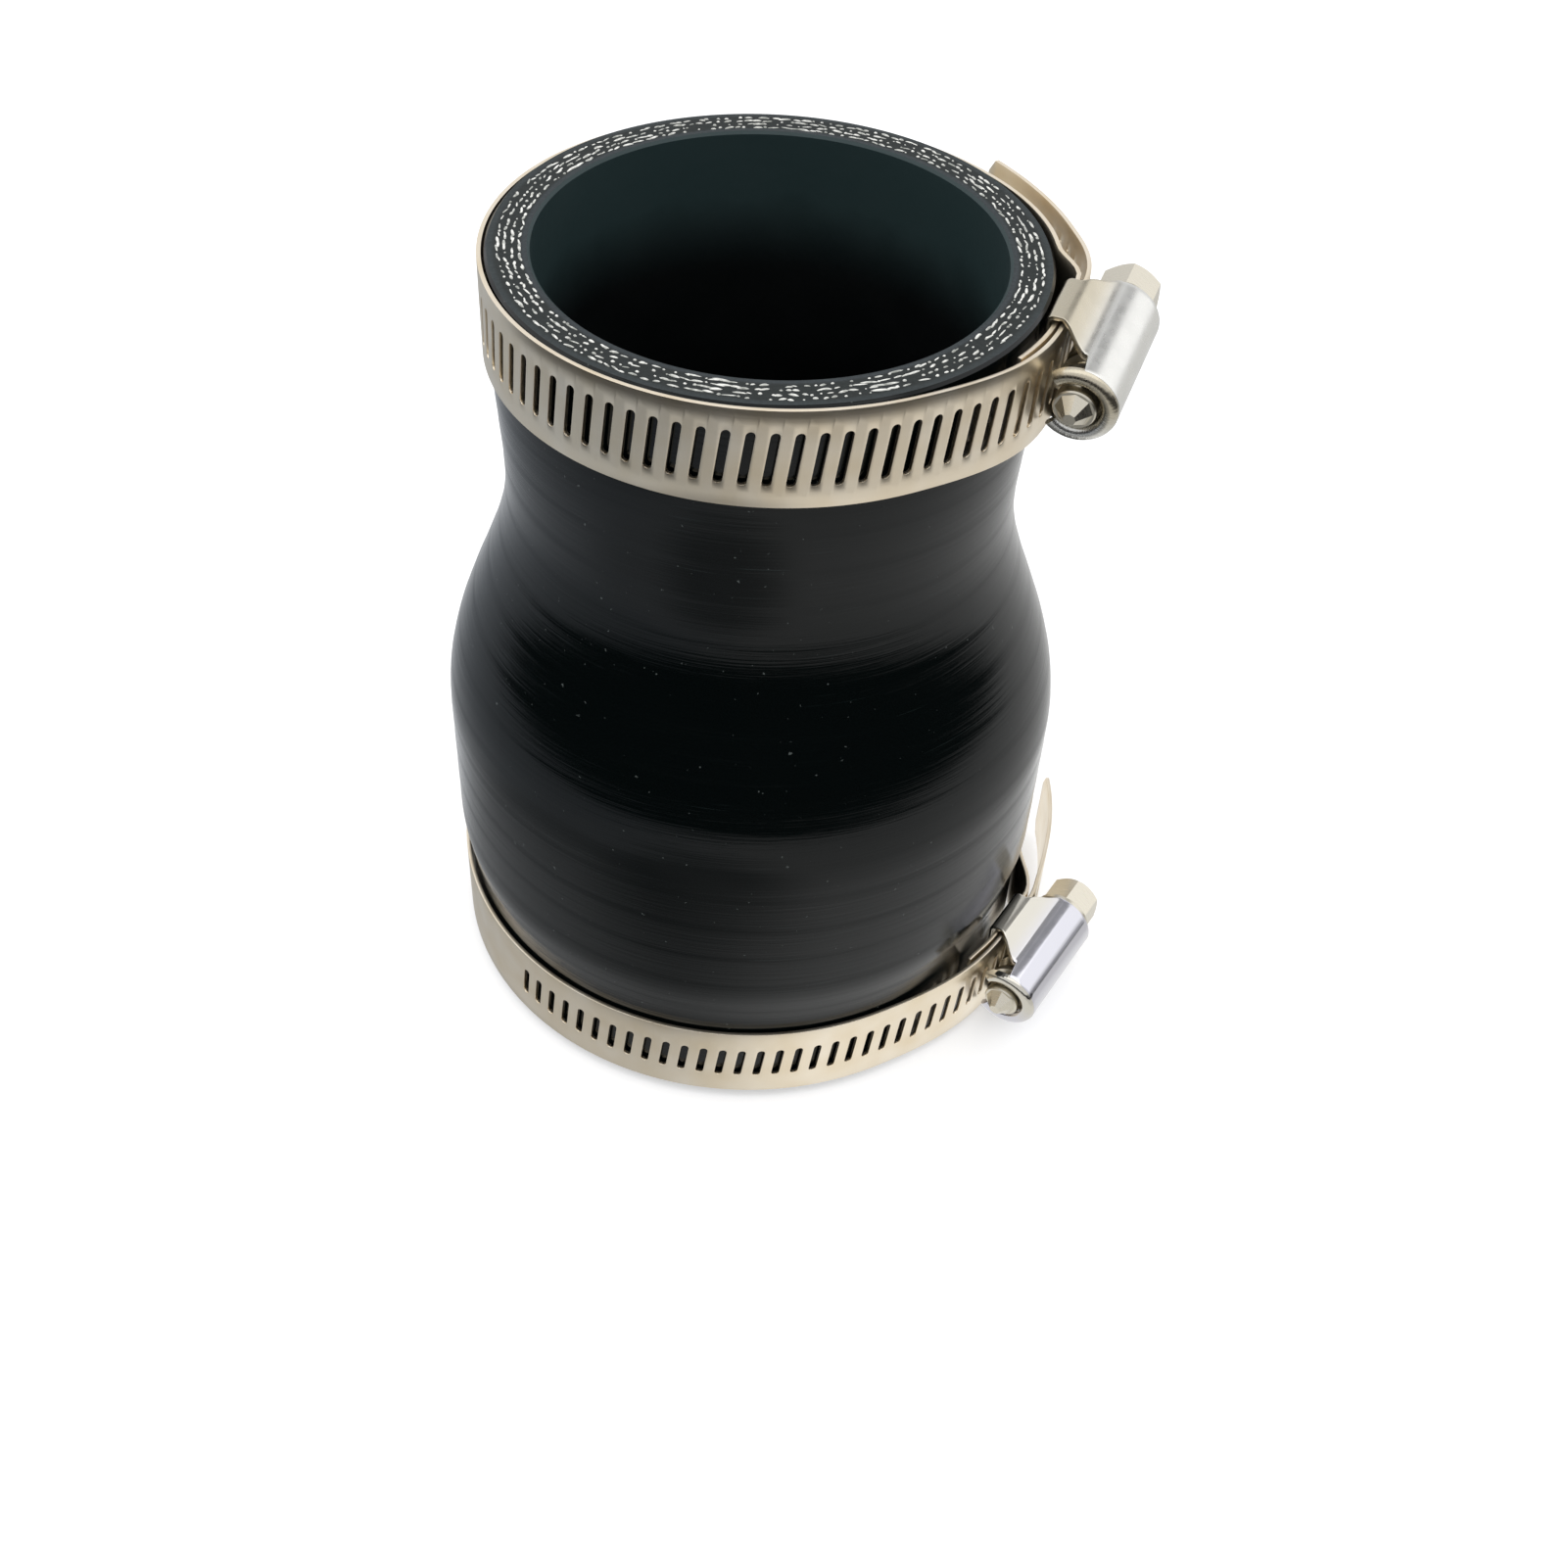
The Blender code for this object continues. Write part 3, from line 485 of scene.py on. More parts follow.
def hose_profile():
    """Points (radius, height) down the outside and up the bore."""
    top_seat = (SMALL_SEAT, HOSE_LENGTH - UPPER_INSET - BAND_WIDTH - CRIMP_EASE)
    foot_seat = (LARGE_SEAT, LOWER_INSET + BAND_WIDTH + CRIMP_EASE)
    neck = (SMALL_SEAT - NECK_WAIST, NECK_HEIGHT)
    shoulder = (LARGE_SEAT + BELLY_SWELL, SHOULDER_HEIGHT)
    belly = (LARGE_SEAT + BELLY_SWELL, BELLY_BOTTOM)
    wide = (LARGE_BORE / 2, BORE_TAPER_BOTTOM)
    narrow = (SMALL_BORE / 2, BORE_TAPER_TOP)
    return [
        (SMALL_SEAT - CUT_EDGE, HOSE_LENGTH), (SMALL_SEAT, HOSE_LENGTH - CUT_EDGE), top_seat,
        *eased(top_seat, neck, OUTSIDE_ROW), neck,
        *eased(neck, shoulder, OUTSIDE_ROW), shoulder,
        *straight(shoulder, belly, OUTSIDE_ROW), belly,
        *eased(belly, foot_seat, OUTSIDE_ROW), foot_seat,
        (LARGE_SEAT, CUT_EDGE), (LARGE_SEAT - CUT_EDGE, 0.0), (LARGE_SEAT - COVER, FABRIC_DEPTH),
        (LARGE_BORE / 2 + LINER, FABRIC_DEPTH), (LARGE_BORE / 2 + CUT_EDGE, 0.0),
        (LARGE_BORE / 2, CUT_EDGE), wide,
        *eased(wide, narrow, BORE_ROW), narrow,
        (SMALL_BORE / 2, HOSE_LENGTH - CUT_EDGE), (SMALL_BORE / 2 + CUT_EDGE, HOSE_LENGTH)]


def turned_object(name, profile, steps, closed):
    """A profile of (radius, height) points turned about Z."""
    mesh = bpy.data.meshes.new(name)
    edges = [(i, i + 1) for i in range(len(profile) - 1)]
    if closed:
        edges.append((len(profile) - 1, 0))
    mesh.from_pydata([(radius, 0.0, height) for radius, height in profile], edges, [])
    obj = add_object(name, mesh)
    modifier = obj.modifiers.new("turn", "SCREW")
    modifier.steps = steps
    modifier.render_steps = steps
    modifier.use_merge_vertices = True
    modifier.merge_threshold = WELD
    return obj


hose = turned_object("silicone_hose", hose_profile(), HOSE_STEPS, closed=True)
hose.matrix_world = Matrix.Translation(AXIS)
hose = made_plain(hose)
print(hose.name, triangles(hose), "triangles")

# %% Tape steps, wall attribute and materials
TAPE_PITCH = 5.2 * MM
TAPE_STEP = 0.03 * MM
TAPE_FROM = 13.0 * MM
TAPE_TO = 86.5 * MM
TAPE_FADE = 3.0 * MM
TAPE_CLIMB = 0.85              # share of a turn that climbs


def tape_relief(z, angle):
    """Height left by the tape: a slow climb and a quick fall each turn, faded at the clamps."""
    turn = (z / TAPE_PITCH + angle / math.tau) % 1.0
    climb = turn / TAPE_CLIMB if turn < TAPE_CLIMB else (1.0 - turn) / (1.0 - TAPE_CLIMB)
    fade = min(1.0, max(0.0, (z - TAPE_FROM) / TAPE_FADE), max(0.0, (TAPE_TO - z) / TAPE_FADE))
    return TAPE_STEP * (climb - 1.0) * fade


mesh = hose.data
wall = mesh.attributes.new("wall", "FLOAT", "POINT")
normals = [vertex.normal.copy() for vertex in mesh.vertices]
for vertex, normal in zip(mesh.vertices, normals):
    offset = vertex.co - AXIS
    radius = math.hypot(offset.x, offset.y)
    bore = (SMALL_BORE if vertex.co.z > HOSE_LENGTH / 2 else LARGE_BORE) / 2
    wall.data[vertex.index].value = min(max((radius - bore) / HOSE_WALL, 0.0), 1.0)
    bore_side = normal.x * offset.x + normal.y * offset.y < 0
    if not bore_side and TAPE_FROM < vertex.co.z < TAPE_TO:
        shrink = tape_relief(vertex.co.z, math.atan2(offset.y, offset.x)) / radius
        vertex.co += Vector((offset.x, offset.y, 0.0)) * shrink

for material in (silicone_cover, cut_silicone, bore_silicone):
    mesh.materials.append(material)
for polygon in mesh.polygons:
    middle = polygon.center - AXIS
    outward = polygon.normal.x * middle.x + polygon.normal.y * middle.y
    if abs(polygon.normal.z) > 0.9:
        polygon.material_index = 1
    elif outward < 0:
        polygon.material_index = 2
smooth_by_angle(hose, 30)
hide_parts("hose")
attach(hose, "coupler")
print("tape steps", TAPE_STEP / MM, "mm high every", TAPE_PITCH / MM, "mm")

# %% [markdown]
# ## Yarn ends in the cut faces
#
# Each ply is woven, and the knife cuts through it. Yarns that run round the
# hose show as short dashes, yarns that run along it as dots, in four rows. They
# repeat by a rule with some disorder, which is what Geometry Nodes are good at:
# a tree makes one point for each yarn end, pushes it to its row and angle with a
# little random wander, drops some, and sets a small ellipsoid on the rest.

# %% Yarn tree
def start_tree(name, inputs):
    """A Geometry Nodes tree with its named inputs, and the sockets that bring them in."""
    tree = bpy.data.node_groups.new(name, "GeometryNodeTree")
    for title, kind in {"Geometry": "Geometry", **inputs}.items():
        tree.interface.new_socket(title, in_out="INPUT", socket_type="NodeSocket" + kind)
    tree.interface.new_socket("Geometry", in_out="OUTPUT", socket_type="NodeSocketGeometry")
    return tree, add_node(tree, "NodeGroupInput").outputs


def yarn_tree():
    tree, given = start_tree("yarn_ends", {
        "Rows": "Int", "Ends in a row": "Int", "First row radius": "Float", "Row spacing": "Float",
        "Height": "Float", "Dash length": "Float", "Yarn width": "Float", "Seed": "Int",
        "Material": "Material"})
    rows, ends, seed = given["Rows"], given["Ends in a row"], given["Seed"]
    index = add_node(tree, "GeometryNodeInputIndex")
    count = add_node(tree, "ShaderNodeMath", {0: rows, 1: ends}, operation="MULTIPLY")
    points = add_node(tree, "GeometryNodePoints", {"Count": count})

    # Random wander of each end: along the row (x), across it (y) and its turn (z).
    wander = add_node(
        tree, "FunctionNodeRandomValue",
        {"Min": (-0.4, -0.11 * MM, -0.3), "Max": (0.4, 0.11 * MM, 0.3), "ID": index, "Seed": seed},
        data_type="FLOAT_VECTOR")
    wander = add_node(tree, "ShaderNodeSeparateXYZ", {0: wander}).outputs

    # Each row starts a part of a step later than the row inside it.
    row = add_node(tree, "ShaderNodeMath", {0: index, 1: rows}, operation="MODULO")
    step = add_node(tree, "ShaderNodeMath", {0: index, 1: rows}, operation="DIVIDE")
    step = add_node(tree, "ShaderNodeMath", {0: step, 1: wander["X"]}, operation="ADD")
    share = add_node(tree, "ShaderNodeMath", {0: step, 1: ends}, operation="DIVIDE")
    angle = add_node(tree, "ShaderNodeMath", {0: share, 1: math.tau}, operation="MULTIPLY")

    # The rows wave a little, because the plies were pulled tight unevenly.
    wave = add_node(
        tree, "ShaderNodeTexNoise", {"W": angle, "Scale": 1.6, "Detail": 1.0}, noise_dimensions="1D")
    waved = add_node(
        tree, "ShaderNodeMapRange", {"Value": wave, "To Min": -0.35 * MM, "To Max": 0.35 * MM})
    radius = add_node(
        tree, "ShaderNodeMath", {0: row, 1: given["Row spacing"], 2: given["First row radius"]},
        operation="MULTIPLY_ADD")
    for shift in (waved, wander["Y"]):
        radius = add_node(tree, "ShaderNodeMath", {0: radius, 1: shift}, operation="ADD")
    ahead_of_turn = add_node(tree, "ShaderNodeCombineXYZ", {"X": radius, "Z": given["Height"]})
    position = add_node(
        tree, "ShaderNodeVectorRotate", {"Vector": ahead_of_turn, "Angle": angle},
        rotation_type="Z_AXIS")
    placed = add_node(tree, "GeometryNodeSetPosition", {"Geometry": points, "Position": position})

    # Random length (x), width (y) and kind (z) of each end.
    shape_seed = add_node(tree, "ShaderNodeMath", {0: seed, 1: 1.0}, operation="ADD")
    shape = add_node(
        tree, "FunctionNodeRandomValue",
        {"Min": (0.6, 0.65, 0.0), "Max": (1.4, 1.25, 1.0), "ID": index, "Seed": shape_seed},
        data_type="FLOAT_VECTOR")
    shape = add_node(tree, "ShaderNodeSeparateXYZ", {0: shape}).outputs
    # Unwanted ends are left unselected. Deleting them would renumber the others.
    kept = add_node(tree, "ShaderNodeMath", {0: shape["Z"], 1: 0.93}, operation="LESS_THAN")
    is_dot = add_node(tree, "ShaderNodeMath", {0: shape["Z"], 1: 0.62}, operation="GREATER_THAN")

    # Where the knife followed a yarn, its ends run together into a thread.
    followed = add_node(
        tree, "ShaderNodeTexNoise", {"W": step, "Scale": 0.11, "Detail": 1.0}, noise_dimensions="1D")
    stretch = add_node(
        tree, "ShaderNodeMapRange",
        {"Value": followed, "From Min": 0.48, "From Max": 0.7, "To Min": 0.9, "To Max": 1.6})
    dash = given["Dash length"]
    for factor in (shape["X"], stretch):
        dash = add_node(tree, "ShaderNodeMath", {0: dash, 1: factor}, operation="MULTIPLY")
    width = add_node(
        tree, "ShaderNodeMath", {0: given["Yarn width"], 1: shape["Y"]}, operation="MULTIPLY")
    dot = add_node(tree, "ShaderNodeMath", {0: width, 1: 1.3}, operation="MULTIPLY")
    length = add_node(tree, "ShaderNodeMix", {"Factor": is_dot, "A": dash, "B": dot})
    size = add_node(tree, "ShaderNodeCombineXYZ", {"X": width, "Y": length, "Z": width})
    skew = add_node(tree, "ShaderNodeMath", {0: wander["Z"], 1: stretch}, operation="DIVIDE")
    skew = add_node(tree, "ShaderNodeMath", {0: angle, 1: skew}, operation="ADD")
    turned = add_node(tree, "ShaderNodeCombineXYZ", {"Z": skew})

    yarn_end = add_node(tree, "GeometryNodeMeshUVSphere", {"Segments": 8, "Rings": 5, "Radius": 0.5})
    instances = add_node(
        tree, "GeometryNodeInstanceOnPoints",
        {"Points": placed, "Selection": kept, "Instance": yarn_end, "Rotation": turned, "Scale": size})
    real = add_node(tree, "GeometryNodeRealizeInstances", {"Geometry": instances})
    smooth = add_node(tree, "GeometryNodeSetShadeSmooth", {"Geometry": real})
    painted = add_node(
        tree, "GeometryNodeSetMaterial", {"Geometry": smooth, "Material": given["Material"]})
    add_node(tree, "NodeGroupOutput", {"Geometry": painted})
    return tree


# %% Growing a piece from a tree
def grow(name, tree, values, geometry=None):
    """Puts a node tree with its named inputs on a new object, as a modifier."""
    obj = add_object(name, geometry or bpy.data.meshes.new(name))
    modifier = obj.modifiers.new("grow", "NODES")
    modifier.node_group = tree
    for item in tree.interface.items_tree:
        if item.in_out == "INPUT" and item.name in values:
            modifier[item.identifier] = values[item.name]
    return obj


YARNS = yarn_tree()
print("yarn tree with", len(YARNS.nodes), "nodes")

# %% Yarn ends on both faces
def yarn_rows(name, bore, height, ends, seed):
    piece = grow(name, YARNS, {
        "Rows": 4, "Ends in a row": ends, "First row radius": bore / 2 + 1.15 * MM,
        "Row spacing": 0.76 * MM, "Height": height, "Dash length": 1.05 * MM,
        "Yarn width": 0.3 * MM, "Seed": seed, "Material": polyester_yarn})
    piece.matrix_world = Matrix.Translation(AXIS)
    piece = made_plain(piece)
    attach(piece, "coupler")
    print(piece.name, triangles(piece), "triangles")
    return piece


yarn_rows("small_end_yarn", SMALL_BORE, HOSE_LENGTH - 0.05 * MM, 172, 11)
yarn_rows("large_end_yarn", LARGE_BORE, 0.2 * MM, 216, 29)

# %% [markdown]
# ## Where each clamp sits
#
# A clamp is described in its own frame: X along the screw towards its head, Z
# out from the hose, Y up. The band's route is a chain of knots seen from above,
# each an angle, a radius and a slope, with a cubic between them: inner end,
# straight through the housing, down to the hose, once round, up again, through
# the housing over itself, and the free tail.

# %% Clamp placement
class Clamp:
    """One clamp's place on the hose and the heights of its layers over it."""

    def __init__(self, name, seat, middle, lean, lean_to, angle, slide, tilt):
        self.name = name
        self.seat = seat
        self.middle = middle
        toward = math.radians(lean_to)
        hinge = Vector((-math.sin(toward), math.cos(toward), 0.0))
        at_middle = Matrix.Translation((0, 0, middle))
        leaning = at_middle @ Matrix.Rotation(math.radians(lean), 4, hinge) @ at_middle.inverted()
        self.place = Matrix.Translation(AXIS) @ leaning
        self.angle = math.radians(angle)
        self.slide = slide
        self.tilt = math.radians(tilt)
        self.wrap = seat + GAP + BAND_THICKNESS / 2
        self.foot = seat + GAP + SHEET / 2
        self.inner = self.foot + SHEET / 2 + GAP + BAND_THICKNESS / 2
        self.outer = self.inner + BAND_THICKNESS + GAP
        self.screw = self.outer + BAND_THICKNESS / 2 + GAP + CREST_RADIUS

    def frame(self):
        along = Vector((-math.sin(self.angle), math.cos(self.angle), 0.0))
        out = Vector((math.cos(self.angle), math.sin(self.angle), 0.0))
        basis = Matrix((along, Vector((0, 0, 1)), out)).transposed().to_4x4()
        centre = along * self.slide + Vector((0, 0, self.middle))
        return self.place @ Matrix.Translation(centre) @ basis @ Matrix.Rotation(self.tilt, 4, "Z")

    def screw_frame(self):
        """Z along the screw towards its head, with the screw's axis as the middle."""
        at_screw = self.frame() @ Matrix.Translation((0, 0, self.screw))
        return at_screw @ Matrix.Rotation(math.radians(90), 4, "Y")

    def set_route(self, inner_end, landing, take_off, settled, tail_end):
        """The band's knots, as (angle, radius, slope). Angles count from the housing."""
        front = self.slide - SADDLE_FRONT - SHEET
        back = self.slide + SADDLE_BACK + SHEET
        self.knots = [
            (math.radians(inner_end), self.wrap + GAP, 0.0),
            self.flat_knot(self.inner, front, 0),
            self.flat_knot(self.inner, back, 0),
            (math.radians(landing), self.wrap, 0.0),
            (math.tau - math.radians(take_off), self.wrap, 0.0),
            self.flat_knot(self.outer, front, 1),
            self.flat_knot(self.outer, back, 1),
            (math.tau + math.radians(settled[0]), self.seat + settled[1], settled[2]),
            (math.tau + math.radians(tail_end[0]), self.seat + tail_end[1], tail_end[2])]

    def flat_knot(self, distance, along, turns):
        angle = math.atan2(along, distance)
        radius = math.hypot(along, distance)
        return angle + math.tau * turns, radius, radius * math.tan(angle)

    def radius_at(self, angle):
        last = len(self.knots) - 1
        i = next((i for i in range(1, last) if angle < self.knots[i][0]), last)
        start, end = self.knots[i - 1], self.knots[i]
        span = end[0] - start[0]
        t = (angle - start[0]) / span
        from_start = (1 + 2 * t) * (1 - t) ** 2 * start[1] + t * (1 - t) ** 2 * span * start[2]
        from_end = t * t * (3 - 2 * t) * end[1] + t * t * (t - 1) * span * end[2]
        return from_start + from_end

    def point_at(self, angle):
        radius = self.radius_at(angle)
        turn = self.angle + angle
        along = radius * math.sin(angle) - self.slide
        near = math.cos(angle) > 0
        rise = math.tan(self.tilt) * along * math.exp(-((along / TILT_FADE) ** 2)) if near else 0.0
        return Vector((radius * math.cos(turn), radius * math.sin(turn), self.middle + rise))


upper = Clamp(
    "upper", seat=SMALL_SEAT, middle=HOSE_LENGTH - UPPER_INSET - BAND_WIDTH / 2,
    lean=0.75, lean_to=80.0, angle=-21.1, slide=3.5 * MM, tilt=8.0)
upper.set_route(
    inner_end=-14.5, landing=25.0, take_off=38.9,
    settled=(34.1, 3.0 * MM, 0.0), tail_end=(64.3, 3.9 * MM, 3.3 * MM))
lower = Clamp(
    "lower", seat=LARGE_SEAT, middle=LOWER_INSET + BAND_WIDTH / 2,
    lean=0.0, lean_to=0.0, angle=-32.3, slide=5.2 * MM, tilt=3.0)
lower.set_route(
    inner_end=-6.2, landing=27.0, take_off=29.0,
    settled=(19.5, 3.6 * MM, 3.0 * MM), tail_end=(46.8, 6.7 * MM, 7.0 * MM))
for clamp in (upper, lower):
    print(clamp.name, "screw", round((clamp.screw - clamp.seat) / MM, 2), "mm over the hose")

# %% [markdown]
# ## The perforated bands
#
# The strip is punched flat and then rolled, and it is made the same way here.
# One slot with the metal round it is a tile. A tree sets the tile down again
# and again between the plain ends, welds the seams, and then bends the flat
# strip: a point's distance along the strip picks a point on the route curve,
# and its distance across becomes height. Solidify gives the sheet its
# thickness, and a small Bevel gives the punched edges the bright line that
# rolled metal shows.

# %% One slot as a tile
ARC_STEPS = 8
SIDE_STEPS = 3
TILE_RINGS = (0.0, 0.35, 1.0)  # shares of the way from the slot's rim to the tile's border
PLAIN_STEP = 1.2 * MM          # length of the columns where the strip isn't punched


def skin(bm, rows, closed=False):
    """Faces between neighbouring rows of points."""
    for row, following in zip(rows, rows[1:]):
        for i in range(len(row) if closed else len(row) - 1):
            j = (i + 1) % len(row)
            bm.faces.new((row[i], following[i], following[j], row[j]))


def mesh_from(bm, name):
    """The finished mesh of a BMesh, which is then freed."""
    mesh = bpy.data.meshes.new(name)
    bm.to_mesh(mesh)
    bm.free()
    return mesh


def across_levels(slot_length):
    """Heights across the strip where tiles and plain ends share their points."""
    half = slot_length / 2 - SLOT_WIDTH / 2
    edge = BAND_WIDTH / 2
    quarter = (half + edge) / 2
    straight_levels = [-half + 2 * half * i / SIDE_STEPS for i in range(SIDE_STEPS + 1)]
    return [-edge, -quarter] + straight_levels + [quarter, edge]


def slot_tile(name, slot_length):
    """A tile one pitch long: rings of points from the slot's rim out to the tile's border."""
    half = slot_length / 2 - SLOT_WIDTH / 2
    edge = BAND_WIDTH / 2
    side = SLOT_PITCH / 2
    rim, border = [], []
    for i in range(SIDE_STEPS + 1):
        y = -half + 2 * half * i / SIDE_STEPS
        rim.append((SLOT_WIDTH / 2, y))
        border.append((side, y))
    quarter = (half + edge) / 2
    over_the_top = [
        (side, quarter), (side, edge), (side / 2, edge), (0, edge),
        (-side / 2, edge), (-side, edge), (-side, quarter)]
    for k, (x, y) in enumerate(over_the_top, start=1):
        a = math.pi * k / ARC_STEPS
        rim.append((SLOT_WIDTH / 2 * math.cos(a), half + SLOT_WIDTH / 2 * math.sin(a)))
        border.append((x, y))
    whole_rim = rim + [(-x, -y) for x, y in rim]
    whole_border = border + [(-x, -y) for x, y in border]
    bm = bmesh.new()
    rings = []
    for share in TILE_RINGS:
        ring = []
        for (rx, ry), (bx, by) in zip(whole_rim, whole_border):
            lean = SLOT_LEAN * ry * (1 - share)
            ring.append(bm.verts.new((rx + (bx - rx) * share + lean, ry + (by - ry) * share, 0.0)))
        rings.append(ring)
    skin(bm, rings, closed=True)
    return mesh_from(bm, name)


def plain_ends(name, levels, first_tile, last_tile, length):
    """The unpunched start and tail as grids whose points meet the tiles' points."""
    bm = bmesh.new()
    for start, end in ((0.0, first_tile), (last_tile, length)):
        columns = max(2, round((end - start) / PLAIN_STEP))
        rows = []
        for i in range(columns + 1):
            x = start + (end - start) * i / columns
            rows.append([bm.verts.new((x, y, 0.0)) for y in levels])
        if end == length:
            rows[-1][0].co.x -= TAIL_CORNER
            rows[-1][-1].co.x -= TAIL_CORNER
        skin(bm, rows)
    return mesh_from(bm, name)


# %% Strip tree
def strip_tree():
    tree, given = start_tree("punched_strip", {
        "Slot tile": "Object", "Route": "Object", "First slot": "Float", "Slot pitch": "Float",
        "Slots": "Int", "Material": "Material"})
    tile = add_node(tree, "GeometryNodeObjectInfo", {"Object": given["Slot tile"]}).outputs["Geometry"]
    route = add_node(tree, "GeometryNodeObjectInfo", {"Object": given["Route"]}).outputs["Geometry"]
    first = add_node(tree, "ShaderNodeCombineXYZ", {"X": given["First slot"]})
    pitch = add_node(tree, "ShaderNodeCombineXYZ", {"X": given["Slot pitch"]})
    line = add_node(tree, "GeometryNodeMeshLine", {
        "Count": given["Slots"], "Start Location": first, "Offset": pitch})
    tiles = add_node(tree, "GeometryNodeInstanceOnPoints", {"Points": line, "Instance": tile})
    real = add_node(tree, "GeometryNodeRealizeInstances", {"Geometry": tiles})
    joined = add_node(tree, "GeometryNodeJoinGeometry", {"Geometry": given["Geometry"]})
    feed(joined, {"Geometry": real})
    welded = add_node(tree, "GeometryNodeMergeByDistance", {"Geometry": joined, "Distance": WELD})
    flat = add_node(tree, "GeometryNodeInputPosition")
    in_millimetres = add_node(
        tree, "ShaderNodeVectorMath", {0: flat, "Scale": 1 / MM}, operation="SCALE")
    marked = add_node(
        tree, "GeometryNodeStoreNamedAttribute",
        {"Geometry": welded, "Name": "sheet", "Value": in_millimetres},
        data_type="FLOAT_VECTOR", domain="POINT")
    across = add_node(tree, "ShaderNodeSeparateXYZ", {0: flat}).outputs
    on_route = add_node(
        tree, "GeometryNodeSampleCurve", {"Curves": route, "Length": across["X"]}, mode="LENGTH",
        use_all_curves=True).outputs["Position"]
    height = add_node(tree, "ShaderNodeCombineXYZ", {"Z": across["Y"]})
    bent = add_node(tree, "ShaderNodeVectorMath", {0: on_route, 1: height}, operation="ADD")
    rolled = add_node(tree, "GeometryNodeSetPosition", {"Geometry": marked, "Position": bent})
    painted = add_node(
        tree, "GeometryNodeSetMaterial", {"Geometry": rolled, "Material": given["Material"]})
    add_node(tree, "NodeGroupOutput", {"Geometry": painted})
    return tree


STRIP = strip_tree()
print("strip tree with", len(STRIP.nodes), "nodes")

# %% Route and band
ROUTE_SAMPLES = 900


def route_curve(clamp):
    """The band's middle line as a curve, with the run at each angle."""
    start, end = clamp.knots[0][0], clamp.knots[-1][0]
    angles = [start + (end - start) * i / ROUTE_SAMPLES for i in range(ROUTE_SAMPLES + 1)]
    points = [clamp.point_at(angle) for angle in angles]
    runs = [0.0]
    for a, b in zip(points, points[1:]):
        runs.append(runs[-1] + (b - a).length)
    curve = bpy.data.curves.new(clamp.name + "_route", "CURVE")
    curve.dimensions = "3D"
    spline = curve.splines.new("POLY")
    spline.points.add(ROUTE_SAMPLES)
    for point, place in zip(spline.points, points):
        point.co = (*place, 1.0)
    return add_object(curve.name, curve), angles, runs


def run_at(angles, runs, degrees):
    target = math.radians(degrees)
    i = next(i for i in range(1, len(angles)) if angles[i] >= target)
    share = (target - angles[i - 1]) / (angles[i] - angles[i - 1])
    return runs[i - 1] + (runs[i] - runs[i - 1]) * share


def make_band(clamp, slots_from, slots_to, slot_length):
    route, angles, runs = route_curve(clamp)
    first = run_at(angles, runs, slots_from)
    count = int((run_at(angles, runs, slots_to) - first) / SLOT_PITCH) + 1
    tile = add_object(clamp.name + "_slot_tile", slot_tile(clamp.name + "_slot_tile", slot_length))
    ends = plain_ends(
        clamp.name + "_plain_ends", across_levels(slot_length), first - SLOT_PITCH / 2,
        first + SLOT_PITCH * (count - 0.5), runs[-1])
    band = grow(clamp.name + "_clamp_band", STRIP, {
        "Slot tile": tile, "Route": route, "First slot": first, "Slot pitch": SLOT_PITCH,
        "Slots": count, "Material": rolled_steel}, ends)
    band.matrix_world = clamp.place
    band = made_plain(band)
    bpy.data.objects.remove(tile, do_unlink=True)
    bpy.data.objects.remove(route, do_unlink=True)
    return band, count


def thicken(piece, thickness):
    solid = piece.modifiers.new("thickness", "SOLIDIFY")
    solid.thickness = thickness
    solid.offset = 0.0
    solid.use_even_offset = True


def with_rolled_edges(piece, edge):
    """Rolls the sharp edges a little, then keeps the plain mesh."""
    bevel = piece.modifiers.new("edges", "BEVEL")
    bevel.width = edge
    bevel.segments = 2
    bevel.limit_method = "ANGLE"
    bevel.angle_limit = math.radians(50)
    return made_plain(piece)


for clamp, slots_from, slots_to, slot_length in (
        (upper, 208.1, 403.0, 6.2 * MM), (lower, 256.1, 387.0, 4.9 * MM)):
    band, count = make_band(clamp, slots_from, slots_to, slot_length)
    thicken(band, BAND_THICKNESS)
    band = with_rolled_edges(band, 0.06 * MM)
    smooth_by_angle(band, 35)
    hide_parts(clamp.name + "_band")
    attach(band, "coupler")
    print(band.name, count, "slots", triangles(band), "triangles")

# %% [markdown]
# ## The housings
#
# A housing is one pressed sheet. Seen along the screw it is a keyhole: a barrel
# over the worm, shoulders out to the band's edges, sides, and feet folded in
# under the band. The sheet is a grid of that section swept along the screw,
# where each point of the section has its own front and back edge, so the
# flanks can end short and the barrel can run on. Its front end is turned in
# round the screw's neck, which is made as a turned C and joined on.

# %% Housing section
SHOULDER_RADIUS = 0.7 * MM
CREASE_SOFT = 14               # degrees of the barrel that the soft crease takes
SHEET_COLUMNS = 26
RING_OVERLAP = 0.7 * MM        # the barrel's sheet stops short, inside the end ring
WALL_FADE = 5                  # points of the section over which the barrel's wall thins out


def bent(start, corner, end, shares):
    """Points on the curve that leaves start towards the corner and arrives at end."""
    return [tuple(start * (1 - t) ** 2 + corner * 2 * t * (1 - t) + end * t * t) for t in shares]


def rounded(points, radius, steps=3):
    """A polyline whose corners are eased over a short length each side."""
    result = [points[0]]
    for before, corner, after in zip(points, points[1:], points[2:]):
        a, b, c = Vector(before), Vector(corner), Vector(after)
        reach = min(radius, (b - a).length / 2.2, (c - b).length / 2.2)
        start = b + (a - b).normalized() * reach
        end = b + (c - b).normalized() * reach
        result += bent(start, b, end, [i / steps for i in range(steps + 1)])
    result.append(points[-1])
    return result


